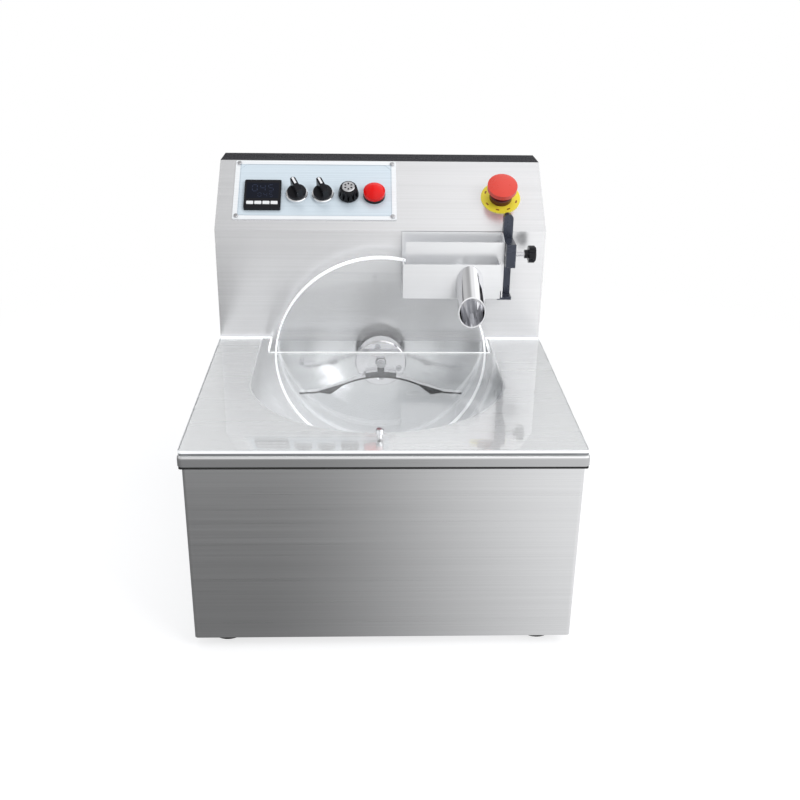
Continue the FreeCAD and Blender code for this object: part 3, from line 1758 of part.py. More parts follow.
def drive():
    """Bracket on four legs, square gearbox and the motor behind it, with their fasteners."""
    bracket = new_body("motor_bracket")
    plate = new_sketch(bracket, "XZ_Plane", "bracket_plate", -gearbox_start)
    half = S.bracket_half
    rounded(plate, -half, -half, half, half, S.gearbox_corner)
    circle(plate, 0, 0, S.bracket_hole)
    for x in (-S.gearbox_screw, S.gearbox_screw):
        for z in (-S.gearbox_screw, S.gearbox_screw):
            circle(plate, x, z, S.stud_radius + S.hole_gap)
    pad(bracket, plate, S.bracket_thickness)
    legs = new_sketch(bracket, "XZ_Plane", "bracket_legs", -bracket_start)
    for x in (-S.bracket_leg, S.bracket_leg):
        for z in (-S.bracket_leg, S.bracket_leg):
            circle(legs, x, z, S.bracket_leg_radius)
    pad(bracket, legs, bracket_start - S.metal)
    place_on_axle(bracket)
    keep(bracket, "motor_bracket")

    gearbox = new_body("gearbox")
    case = new_sketch(gearbox, "XZ_Plane", "gearbox_outline", -gearbox_start)
    side = S.gearbox_half
    rounded(case, -side, -side, side, side, S.gearbox_corner)
    pad(gearbox, case, S.gearbox_length, back=True)
    waist = new_sketch(gearbox, "XZ_Plane", "gearbox_waist", -(gearbox_start + S.gearbox_corner))
    rounded(waist, -side, -side, side, side, S.gearbox_corner)
    inner = side - S.gearbox_waist
    rounded(waist, -inner, -inner, inner, inner, S.gearbox_corner)
    pocket(gearbox, waist, S.gearbox_length - S.gearbox_corner * 2)
    bore = new_sketch(gearbox, "XZ_Plane", "gearbox_bore", -gearbox_start)
    circle(bore, 0, 0, S.output_radius + S.running_gap)
    pocket(gearbox, bore, S.output_engaged + S.seat_gap)
    threads = new_sketch(gearbox, "XZ_Plane", "gearbox_threads", -gearbox_start)
    for x in (-S.gearbox_screw, S.gearbox_screw):
        for z in (-S.gearbox_screw, S.gearbox_screw):
            circle(threads, x, z, S.stud_radius)
    pocket(gearbox, threads, S.gearbox_corner)
    place_on_axle(gearbox)
    keep(gearbox, "gearbox")

    motor = new_body("drive_motor")
    can = new_sketch(motor, "YZ_Plane", "motor_section")
    end = motor_start + S.motor_length
    step = S.motor_step
    outline(can, [
        (motor_start, 0),
        (motor_start, S.motor_radius - step),
        (motor_start + step * 2, S.motor_radius - step),
        (motor_start + step * 2, S.motor_radius),
        (end - S.motor_cap_length - step, S.motor_radius),
        (end - S.motor_cap_length, S.motor_radius - step),
        (end - S.motor_cap_length, S.motor_cap_radius),
        (end, S.motor_cap_radius - step),
        (end, 0),
    ])
    revolve(motor, can, "H_Axis")
    flute = new_sketch(motor, "XZ_Plane", "motor_flute", -(motor_start + step * 3))
    rectangle(flute, S.motor_radius - S.motor_groove, -S.motor_groove / 2,
              S.motor_radius + S.motor_groove, S.motor_groove / 2)
    first = pocket(motor, flute, S.motor_length - S.motor_cap_length - step * 6)
    around(motor, first, flute, S.motor_fins)
    place_on_axle(motor)
    keep(motor, "drive_motor")

    stud = new_body("stud_form")
    profile = new_sketch(stud, "YZ_Plane", "stud_section")
    nut = bearing_start
    outline(profile, [
        (S.metal, 0),
        (S.metal, S.stud_radius),
        (nut, S.stud_radius),
        (nut, S.stud_nut_radius),
        (nut + S.stud_nut_height, S.stud_nut_radius),
        (nut + S.stud_nut_height, S.stud_radius),
        (S.metal + S.stud_length, S.stud_radius),
        (S.metal + S.stud_length, 0),
    ])
    revolve(stud, profile, "H_Axis")
    bolt = new_body("gearbox_bolt_form")
    half_bolt = new_sketch(bolt, "YZ_Plane", "gearbox_bolt_section")
    outline(half_bolt, [
        (bracket_start - S.stud_nut_height, 0),
        (bracket_start - S.stud_nut_height, S.stud_nut_radius),
        (bracket_start, S.stud_nut_radius),
        (bracket_start, S.stud_radius),
        (gearbox_start + S.gearbox_corner - S.small_edge, S.stud_radius),
        (gearbox_start + S.gearbox_corner - S.small_edge, 0),
    ])
    revolve(bolt, half_bolt, "H_Axis")
    diagonal = S.stud_circle / root(as_size(2))
    links = []
    for form, reach in ((stud, diagonal), (bolt, S.gearbox_screw)):
        for x in (-reach, reach):
            for z in (-reach, reach):
                link = doc.addObject("App::Link", f"{form.Name}_{len(links)}")
                link.LinkedObject = form
                place(link, x, wall_y, axle_z + z)
                links.append(link)
    return links


def stirring_blade():
    """Arched strip with a bent-down fin on each wing. It hangs from the hub's pin by a hanger and
    keeps level while the wheel turns behind it."""
    width = S.blade_width
    back = hub_front - S.seat_gap
    front = back - width
    shoulder = S.blade_shoulder_x
    fall = S.blade_shoulder_fall
    arch = (shoulder * shoulder + fall * fall) / (fall * 2)
    top = -S.blade_drop
    arch_centre = top - arch
    thick = S.blade_thickness
    blade = new_body("stirring_blade")
    strip = new_sketch(blade, "XZ_Plane", "blade_strip", -back)
    shoulder_z = top - fall
    knee_z = top - S.blade_knee_fall
    tip_z = top - S.blade_tip_fall
    outline(strip, [
        (-shoulder, shoulder_z),
        (-S.blade_knee_x, knee_z),
        (-S.blade_tip_x, tip_z),
        (-S.blade_tip_x, tip_z - thick),
        (-S.blade_knee_x, knee_z - thick),
        (-shoulder, shoulder_z - thick),
        (shoulder, shoulder_z - thick),
        (S.blade_knee_x, knee_z - thick),
        (S.blade_tip_x, tip_z - thick),
        (S.blade_tip_x, tip_z),
        (S.blade_knee_x, knee_z),
        (shoulder, shoulder_z),
    ], {5: (0, arch_centre - thick, -1), 11: (0, arch_centre, 1)})
    pad(blade, strip, width)
    fins = new_sketch(blade, "XZ_Plane", "blade_fins", -(front + S.fin_thickness))
    for side in (-1, 1):
        outline(fins, [
            (shoulder * side, shoulder_z - thick / 2),
            (S.fin_x * side, top - S.fin_fall),
            (S.blade_knee_x * side, knee_z - thick / 2),
        ])
    pad(blade, fins, S.fin_thickness)
    bolt_y = back - width / 2
    hole = new_sketch(blade, "XY_Plane", "blade_hole", top)
    circle(hole, 0, bolt_y, S.bolt_radius + S.hole_gap)
    pocket(blade, hole, thick)
    place_on_axle(blade)
    keep(blade, "stirring_blade")

    hanger = new_body("blade_hanger")
    saddle = new_sketch(hanger, "XZ_Plane", "saddle_section", -back)
    half = S.saddle_half_width
    low = arch_centre + root(arch * arch - half * half)
    high = top + S.saddle_height - S.saddle_crown
    crown = (half * half + S.saddle_crown * S.saddle_crown) / (S.saddle_crown * 2)
    outline(saddle, [
        (-half, low),
        (half, low),
        (half, high),
        (-half, high),
    ], {0: (0, arch_centre, -1), 2: (0, high + S.saddle_crown - crown, 1)})
    pad(hanger, saddle, width)
    stem = new_sketch(hanger, "XZ_Plane", "hanger_stem", -back)
    outline(stem, [(-S.hanger_foot, high), (S.hanger_foot, high), (S.hanger_neck, 0), (-S.hanger_neck, 0)])
    pad(hanger, stem, S.hanger_thickness)
    eye = new_sketch(hanger, "XZ_Plane", "hanger_eye", -back)
    circle(eye, 0, 0, S.hanger_eye)
    pad(hanger, eye, S.hanger_thickness)
    bore = new_sketch(hanger, "XZ_Plane", "hanger_bore", -back)
    circle(bore, 0, 0, S.pin_radius + S.running_gap)
    pocket(hanger, bore, S.hanger_thickness, back=True)
    thread = new_sketch(hanger, "XY_Plane", "saddle_thread", low)
    circle(thread, 0, bolt_y, S.bolt_radius)
    pocket(hanger, thread, top + S.saddle_height - S.bolt_end - low, back=True)
    place_on_axle(hanger)
    keep(hanger, "blade_hanger")

    bolt = new_body("blade_bolt")
    seat = top - thick - S.running_gap * 2
    head = new_sketch(bolt, "XY_Plane", "blade_bolt_head", seat)
    corner = S.bolt_head_radius
    flat = corner * cosine(as_size(30))
    outline(head, [
        (corner, 0), (corner / 2, flat), (-corner / 2, flat),
        (-corner, 0), (-corner / 2, -flat), (corner / 2, -flat),
    ])
    pad(bolt, head, S.bolt_head_height, back=True)
    rod = new_sketch(bolt, "XY_Plane", "blade_bolt_rod", seat)
    circle(rod, 0, 0, S.bolt_radius)
    pad(bolt, rod, top + S.saddle_height - S.bolt_end * 2 - seat)
    place(bolt, 0, wall_y + bolt_y, axle_z)
    keep(bolt, "blade_bolt")


def scraper():
    """Lift-off scraper: a folded frame that straddles the disc, a trough and its spout."""
    back = ahead(S.scraper_back)
    frame = new_body("scraper_frame")
    plan = new_sketch(frame, "XY_Plane", "scraper_plan", above(S.scraper_bottom))
    sheet_metal = S.metal
    wall = ahead(S.inner_wall_front)
    outline(plan, [
        (S.scraper_left, back),
        (S.scraper_left, back - sheet_metal),
        (S.scraper_right - sheet_metal, back - sheet_metal),
        (S.scraper_right - sheet_metal, wall + sheet_metal),
        (S.inner_wall_left, wall + sheet_metal),
        (S.inner_wall_left, wall),
        (S.scraper_right, wall),
        (S.scraper_right, back),
    ])
    pad(frame, plan, S.scraper_top - S.scraper_bottom)
    slope = new_sketch(frame, "YZ_Plane", "scraper_slope")
    outline(slope, [
        (back - sheet_metal, above(S.scraper_top)),
        (back - sheet_metal, above(S.scraper_top) + S.small_edge),
        (wall - S.small_edge, above(S.scraper_top) + S.small_edge),
        (wall - S.small_edge, above(S.inner_wall_top)),
        (wall + sheet_metal, above(S.inner_wall_top)),
    ])
    pocket(frame, slope, S.plate_width, both=True)
    foot = new_sketch(frame, "YZ_Plane", "scraper_foot")
    rectangle(foot, wall - S.small_edge, above(S.scraper_bottom) - S.small_edge,
              wall + sheet_metal, above(S.inner_wall_bottom))
    pocket(frame, foot, S.plate_width, both=True)
    keep(frame, "scraper_frame")

    trough = new_body("trough_form")
    front = ahead(S.trough_front)
    block = new_sketch(trough, "XY_Plane", "trough_outline", above(S.trough_bottom))
    rectangle(block, S.scraper_left, front, S.trough_right, wall)
    pad(trough, block, S.trough_top - S.trough_bottom)
    inside = new_sketch(trough, "YZ_Plane", "trough_inside", S.scraper_left + sheet_metal)
    floor = above(S.trough_bottom) + sheet_metal
    outline(inside, [
        (wall, floor + S.trough_floor_rise),
        (wall, above(S.trough_top)),
        (front + sheet_metal, above(S.trough_top)),
        (front + sheet_metal, floor),
    ])
    pocket(trough, inside, S.trough_right - S.scraper_left - sheet_metal * 2, back=True)
    under = new_sketch(trough, "YZ_Plane", "trough_under", S.scraper_left)
    outline(under, [
        (front + sheet_metal, above(S.trough_bottom)),
        (wall, above(S.trough_bottom)),
        (wall, above(S.trough_bottom) + S.trough_floor_rise),
    ])
    pocket(trough, under, S.trough_right - S.scraper_left, back=True)
    bore = spout_rod("trough_spout_hole", S.spout_radius - S.spout_wall)
    keep(cut("scraper_trough", trough, [bore]), "scraper_trough")

    pipe = cut("spout_pipe", spout_rod("spout_outside", S.spout_radius),
               [spout_rod("spout_inside", S.spout_radius - S.spout_wall)])
    window = box("spout_window", S.spout_radius * 4, S.spout_mouth_front - S.trough_front,
                 S.trough_top)
    place(window, S.spout_x - S.spout_radius * 2, ahead(S.spout_mouth_front), above(S.spout_radius))
    tube = doc.addObject("Part::Common", "spout_tube")
    tube.Base = pipe
    tube.Tool = window
    keep(tube, "spout_tube")

    wipers = []
    disc_back = S.disc_gap
    disc_front = S.disc_gap + S.disc_thickness
    for label, near_side, far_side in (
        ("rear_wiper", S.scraper_back + sheet_metal, disc_back - S.seat_gap),
        ("front_wiper", disc_front + S.seat_gap, S.inner_wall_front - sheet_metal),
    ):
        wiper = new_body(label)
        section = new_sketch(wiper, "XZ_Plane", label + "_outline", -ahead(far_side))
        low = above(S.wiper_bottom)
        outline(section, [
            (S.wiper_left, low),
            (S.wiper_left + S.wiper_length - S.wiper_corner, low),
            (S.wiper_left + S.wiper_length, low + S.wiper_corner),
            (S.wiper_left + S.wiper_length, low + S.wiper_height),
            (S.wiper_left, low + S.wiper_height),
        ])
        pad(wiper, section, far_side - near_side, back=True)
        wipers.append(wiper)
    keep(together("wiper_pads", wipers), "wiper_pads")


def spout_rod(label, radius):
    """A cylinder along the spout's axis, long enough to pass the trough's wall and the mouth."""
    run = (S.spout_mouth_front - S.trough_front) / cosine(S.spout_fall)
    spare = radius * 2
    rod = cylinder(label, radius, run + spare * 2)
    reach = spare * cosine(S.spout_fall)
    drop = spare * sine(S.spout_fall)
    place(rod, S.spout_x, ahead(S.spout_mouth_front) - reach, above(S.spout_mouth_height) - drop)
    turn(rod, Vector(-1, 0, 0), 90 - S.spout_fall)
    return rod


def scraper_post():
    """Upright post on the rear wall, with the ledge that carries the scraper, the clamp block that
    holds it, and the clamp's screw and star knob."""
    post = new_body("support_post")
    bar = new_sketch(post, "XZ_Plane", "post_outline", -wall_y)
    left = S.post_left
    right = S.post_left + S.post_width
    low = above(S.post_bottom)
    shoulder = above(S.post_top) - S.post_width / 2
    outline(bar, [
        (left, low), (right, low), (right, shoulder), (left, shoulder),
    ], {2: (S.post_left + S.post_width / 2, shoulder, 1)})
    pad(post, bar, S.post_thickness)
    block = new_sketch(post, "YZ_Plane", "clamp_outline", left)
    front = ahead(S.clamp_front)
    base = ahead(S.post_thickness)
    edge = S.clamp_edge
    outline(block, [
        (base, above(S.clamp_bottom)),
        (base, above(S.clamp_top)),
        (front + edge, above(S.clamp_top)),
        (front, above(S.clamp_top) - edge),
        (front, above(S.clamp_bottom) + edge),
        (front + edge, above(S.clamp_bottom)),
    ])
    pad(post, block, S.post_width)
    ledge = new_sketch(post, "XY_Plane", "post_ledge", low)
    rectangle(ledge, S.scraper_right - S.ledge_reach, ahead(S.ledge_front), right, wall_y)
    pad(post, ledge, S.scraper_bottom - S.post_bottom)
    thread = new_sketch(post, "YZ_Plane", "clamp_thread", left)
    circle(thread, ahead(S.screw_front), above(S.screw_height), S.clamp_screw_radius + S.running_gap)
    pocket(post, thread, S.post_width, back=True)
    sockets = new_sketch(post, "XZ_Plane", "post_sockets", -wall_y)
    for height in post_screw_heights():
        circle(sockets, S.post_left + S.post_width / 2, above(height), S.post_screw_radius)
    pocket(post, sockets, S.post_screw_depth, back=True)
    keep(post, "support_post")

    screw = new_body("post_screw_form")
    section = new_sketch(screw, "YZ_Plane", "post_screw_section")
    outline(section, [
        (S.small_edge - S.post_screw_depth, 0),
        (S.small_edge - S.post_screw_depth, S.post_screw_radius),
        (S.metal, S.post_screw_radius),
        (S.metal, S.post_head_radius),
        (S.metal + S.post_head_height, S.post_head_radius),
        (S.metal + S.post_head_height, 0),
    ])
    revolve(screw, section, "H_Axis")
    places = [placer_at(S.post_left + S.post_width / 2, wall_y, above(height))
              for height in post_screw_heights()]
    screws_behind = copies("post_screws", screw, places)

    tip = S.scraper_right + S.clamp_tip_gap
    knob_left = right + S.star_gap
    rod = cylinder("clamp_screw", S.clamp_screw_radius, knob_left + S.star_boss_length - tip)
    place(rod, tip, ahead(S.screw_front), above(S.screw_height))
    turn(rod, Vector(0, 1, 0), 90)
    keep(rod, "clamp_screw")

    star = new_body("star_knob")
    turned = new_sketch(star, "XY_Plane", "star_section")
    boss = S.star_boss_length
    outline(turned, [
        (0, S.clamp_screw_radius),
        (0, S.star_boss_radius),
        (boss, S.star_boss_radius),
        (boss, S.star_radius),
        (boss + S.star_thickness - S.star_edge, S.star_radius),
        (boss + S.star_thickness, S.star_radius - S.star_edge),
        (boss + S.star_thickness, 0),
        (boss, 0),
        (boss, S.clamp_screw_radius),
    ])
    revolve(star, turned, "H_Axis")
    notch = new_sketch(star, "YZ_Plane", "star_notch_outline", boss)
    circle(notch, S.star_radius + S.star_notch / 3, 0, S.star_notch)
    around(star, pocket(star, notch, S.star_thickness, back=True), notch, S.star_lobes)
    place(star, knob_left, ahead(S.screw_front), above(S.screw_height))
    keep(star, "star_knob")
    return screws_behind


def tank_lid():
    """Clear lid over the whole top plate, notched behind for the wheel, with a small pull."""
    lid = new_body("tank_lid")
    sketch = new_sketch(lid, "XY_Plane", "lid_outline", above(S.lid_gap))
    half = S.plate_width / 2 - S.lid_inset
    round_x = half - S.lid_corner
    back = ahead(S.lid_back)
    front = front_y + S.lid_inset
    round_y = front + S.lid_corner
    notch_front = ahead(S.lid_notch_front)
    outline(sketch, [
        (-half, back),
        (-half, round_y),
        (-round_x, front),
        (round_x, front),
        (half, round_y),
        (half, back),
        (S.lid_notch_right, back),
        (S.lid_notch_right, notch_front),
        (-S.lid_notch_left, notch_front),
        (-S.lid_notch_left, back),
    ], {1: (-round_x, round_y, 1), 3: (round_x, round_y, 1)})
    pad(lid, sketch, S.lid_thickness)

    def upper(edge):
        return near(middle(edge).z, above(S.lid_gap + S.lid_thickness).value)

    dress(lid, "Chamfer", S.lid_edge, upper)
    keep(lid, "tank_lid")

    knob = new_body("lid_knob")
    section = new_sketch(knob, "XZ_Plane", "lid_knob_section")
    radius = S.lid_knob_radius
    high = S.lid_knob_height
    outline(section, [
        (0, 0),
        (S.lid_knob_neck, 0),
        (S.lid_knob_neck, high / 3),
        (radius, high / 2),
        (radius, high - S.small_edge),
        (radius - S.small_edge, high),
        (0, high),
    ])
    revolve(knob, section, "V_Axis")
    place(knob, S.lid_knob_x, front + S.lid_knob_setback, above(S.lid_gap + S.lid_thickness))
    keep(knob, "lid_knob")


def electrics():
    """Speed control board on the tray's pillars, terminal block and mains inlet."""
    board = new_body("speed_board")
    low = tray_top_z + S.pillar_height
    sheet_outline = new_sketch(board, "XY_Plane", "board_outline", low)
    half_x = S.board_width / 2
    half_y = S.board_depth / 2
    rectangle(sheet_outline, -half_x, -half_y, half_x, half_y)
    pad(board, sheet_outline, S.board_thickness)
    face = low + S.board_thickness
    sink = new_sketch(board, "XY_Plane", "board_heat_sink", face)
    half_sink = S.board_sink_width / 2
    comb = [(-half_sink, half_y - S.pillar_inset - S.board_sink_depth)]
    comb += [(half_sink, half_y - S.pillar_inset - S.board_sink_depth)]
    pitch = S.board_sink_width / S.board_sink_fins
    root_y = half_y - S.pillar_inset - S.board_sink_depth / 2
    for number in range(round(S.board_sink_fins.value)):
        right = half_sink - pitch * number
        comb += [(right, half_y - S.pillar_inset), (right - pitch / 2, half_y - S.pillar_inset)]
        comb += [(right - pitch / 2, root_y), (right - pitch, root_y)]
    outline(sink, comb)
    pad(board, sink, S.board_sink_height)
    cans = new_sketch(board, "XY_Plane", "board_capacitors", face)
    for x in (-1, 1):
        circle(cans, S.board_cap_x * x, -half_y / 2, S.board_cap_radius)
    pad(board, cans, S.board_cap_height)
    place(board, S.board_x, S.board_y, 0)
    keep(board, "speed_board")

    block = new_body("terminal_block")
    base = new_sketch(block, "XY_Plane", "terminal_outline", tray_top_z)
    rectangle(base, 0, -S.terminal_depth / 2, S.terminal_length, S.terminal_depth / 2)
    pad(block, base, S.terminal_height)
    ways = new_sketch(block, "XY_Plane", "terminal_ways", tray_top_z + S.terminal_height)
    circle(ways, S.terminal_pitch, 0, S.terminal_hole_radius)
    way = pocket(block, ways, S.terminal_hole_depth)
    along(block, [way], ways, S.terminal_pitch * (S.terminal_ways - 1), S.terminal_ways)
    place(block, S.terminal_x, S.terminal_y, 0)
    keep(block, "terminal_block")

    inlet = new_body("power_inlet")
    flange = new_sketch(inlet, "XZ_Plane", "inlet_flange_outline")
    wide = S.inlet_flange_width / 2
    high = S.inlet_flange_height / 2
    rounded(flange, -wide, -high, wide, high, S.inlet_flange)
    pad(inlet, flange, S.inlet_flange, back=True)
    body_sketch = new_sketch(inlet, "XZ_Plane", "inlet_body_outline")
    rectangle(body_sketch, -S.inlet_body_width / 2, -S.inlet_body_height / 2,
              S.inlet_body_width / 2, S.inlet_body_height / 2)
    pad(inlet, body_sketch, S.inlet_depth)
    socket = new_sketch(inlet, "XZ_Plane", "inlet_socket", -S.inlet_flange)
    x = S.inlet_socket_width / 2
    z = S.inlet_socket_height / 2
    clip = S.inlet_clip
    outline(socket, [
        (-x, -z), (x, -z), (x, z - clip), (x - clip, z), (-x + clip, z), (-x, z - clip),
    ])
    pocket(inlet, socket, S.inlet_socket_depth, back=True)
    pins = new_sketch(inlet, "XZ_Plane", "inlet_pins", S.inlet_socket_depth - S.inlet_flange)
    for across, high in ((-1, -1), (0, 1), (1, -1)):
        pin_x = S.inlet_pin_pitch * across
        pin_z = S.inlet_pin_rise * high
        rectangle(pins, pin_x - S.inlet_pin_thickness / 2, pin_z - S.inlet_pin_width / 2,
                  pin_x + S.inlet_pin_thickness / 2, pin_z + S.inlet_pin_width / 2)
    pad(inlet, pins, S.inlet_pin_length, back=True)
    place(inlet, S.inlet_x, cover_outer_y, S.inlet_z)
    keep(inlet, "power_inlet")


def build():
    cabinet_wrap()
    base_plate()
    feet()
    top_plate()
    melting_tank()
    heater_mat()
    temperature_probe()
    rear_housing()
    rear_cover()
    screws()
    label_plate()
    controller()
    selector_switches()
    speed_control()
    indicator_lamp()
    stop_button()
    panel_nuts()
    dosing_disc()
    hubs()
    shaft_line()
    drive_screws = drive()
    stirring_blade()
    scraper()
    post_screws = scraper_post()
    keep(together("frame_fasteners", drive_screws + [post_screws]), "frame_fasteners")
    tank_lid()
    electrics()


def solid_problem(shape):
    if shape.isNull():
        return "empty"
    if not shape.isValid():
        return "not valid"
    if not shape.Solids:
        return "no solid"
    return ""


def write_parts():
    doc.recompute()
    problems = [f"{obj.Name}: {obj.State}" for obj in doc.Objects
                if "Invalid" in obj.State or "Error" in obj.State]
    problems += [f"{obj.Label}: {solid_problem(obj.Shape)}" for obj in nodes if solid_problem(obj.Shape)]
    problems += [f"{obj.Name}: cuts nothing" for obj in doc.Objects
                 if obj.TypeId == "PartDesign::Pocket"
                 and obj.Shape.Volume >= obj.BaseFeature.Shape.Volume - 0.001]
    if problems:
        raise RuntimeError("The model has faults: " + "; ".join(problems))
    os.makedirs("parts", exist_ok=True)
    for obj in nodes:
        obj.Shape.exportStep(f"parts/{obj.Label}.step")
        print(obj.Label, len(obj.Shape.Solids), round(obj.Shape.Volume))


build()
write_parts()
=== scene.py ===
import json
import math

import bmesh
import bpy
from mathutils import Matrix, Vector


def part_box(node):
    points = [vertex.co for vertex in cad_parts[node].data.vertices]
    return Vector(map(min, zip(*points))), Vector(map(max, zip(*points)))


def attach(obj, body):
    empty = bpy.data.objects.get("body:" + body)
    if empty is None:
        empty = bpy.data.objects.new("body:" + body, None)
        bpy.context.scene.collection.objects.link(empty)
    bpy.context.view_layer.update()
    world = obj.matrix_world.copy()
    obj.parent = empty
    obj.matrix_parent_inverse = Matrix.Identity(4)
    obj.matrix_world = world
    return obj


# A chocolate melting machine in a white studio. Metres; +Z up, -Y towards the camera.

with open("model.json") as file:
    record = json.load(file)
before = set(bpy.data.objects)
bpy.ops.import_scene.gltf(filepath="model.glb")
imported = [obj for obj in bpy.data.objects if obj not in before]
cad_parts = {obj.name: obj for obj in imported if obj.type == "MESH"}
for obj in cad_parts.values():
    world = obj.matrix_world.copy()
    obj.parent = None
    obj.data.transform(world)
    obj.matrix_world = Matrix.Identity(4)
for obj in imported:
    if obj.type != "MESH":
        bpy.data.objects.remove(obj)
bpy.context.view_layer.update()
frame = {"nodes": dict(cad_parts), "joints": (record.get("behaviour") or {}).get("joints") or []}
nodes = frame["nodes"]

scene = bpy.context.scene
scene.view_settings.view_transform = "Standard"

# Camera, from a fit to the corners of the photograph's machine
CAMERA_PLACE = Vector((-0.02043, -1.19034, 0.71433))
CAMERA_PITCH = math.radians(23.464)
CAMERA_YAW = math.radians(-2.134)
CAMERA_ROLL = math.radians(-0.861)
CAMERA_LENS = 45.765
CAMERA_SENSOR = 36.0
NEAREST_SEEN = 0.01


def add_camera():
    """A camera that is turned by its yaw, tilted down by its pitch and rolled about its view."""
    right = Vector((math.cos(CAMERA_YAW), math.sin(CAMERA_YAW), 0))
    ahead = Vector((-math.sin(CAMERA_YAW), math.cos(CAMERA_YAW), 0))
    high = Vector((0, 0, 1))
    forward = ahead * math.cos(CAMERA_PITCH) - high * math.sin(CAMERA_PITCH)
    up = ahead * math.sin(CAMERA_PITCH) + high * math.cos(CAMERA_PITCH)
    side = right * math.cos(CAMERA_ROLL) - up * math.sin(CAMERA_ROLL)
    top = right * math.sin(CAMERA_ROLL) + up * math.cos(CAMERA_ROLL)
    data = bpy.data.cameras.new("camera")
    data.lens = CAMERA_LENS
    data.sensor_width = CAMERA_SENSOR
    data.sensor_height = CAMERA_SENSOR
    data.sensor_fit = "AUTO"
    data.clip_start = NEAREST_SEEN
    camera = bpy.data.objects.new("camera", data)
    scene.collection.objects.link(camera)
    turn = Matrix((side, top, -forward)).transposed()
    camera.matrix_world = Matrix.Translation(CAMERA_PLACE) @ turn.to_4x4()
    scene.camera = camera


add_camera()


# Places on the machine, from the frame where it gives them

JOINT_PLACES = {joint["name"]: Vector(joint["pos_m"]) for joint in frame["joints"] if "pos_m" in joint}

# The wheel's axis runs along Y through AXLE
AXLE = (0.0, 0.0, JOINT_PLACES["wheel_turn"].z)
WHEEL_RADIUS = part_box("dosing_disc")[1][2] - AXLE[2]

(_, LID_FRONT, LID_FOOT), (_, LID_BACK, LID_TOP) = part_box("tank_lid")
LID_MIDDLE = (LID_FOOT + LID_TOP) / 2
NOTCH_MIDDLE = -0.002
NOTCH_HALF = 0.143

# The control panel leans back by LEAN from CREASE, its meeting line with the upright wall. RISE
# points up its slope and OUT straight out of it.
LEAN = math.radians(52)
CREASE = Vector((0.0, 0.1, 0.392))
RISE = Vector((0.0, math.sin(LEAN), math.cos(LEAN)))
OUT = Vector((0.0, -math.cos(LEAN), math.sin(LEAN)))


def on_panel(point):
    """A point's place across the panel, up it and out of it."""
    away = point - CREASE
    return Vector((away.x, away.dot(RISE), away.dot(OUT)))


def panel_box(name):
    """A node's lowest and highest corners, across the panel, up it and out of it."""
    spots = [on_panel(vertex.co) for vertex in nodes[name].data.vertices]
    low = Vector([min(spot[axis] for spot in spots) for axis in range(3)])
    high = Vector([max(spot[axis] for spot in spots) for axis in range(3)])
    return low, high


def panel_middle(name):
    """The middle of a node, across the panel and up it."""
    low, high = panel_box(name)
    return ((low + high) / 2).xy


def face_height(name):
    """How far a node's face stands out of the panel."""
    return panel_box(name)[1].z


# Node helpers

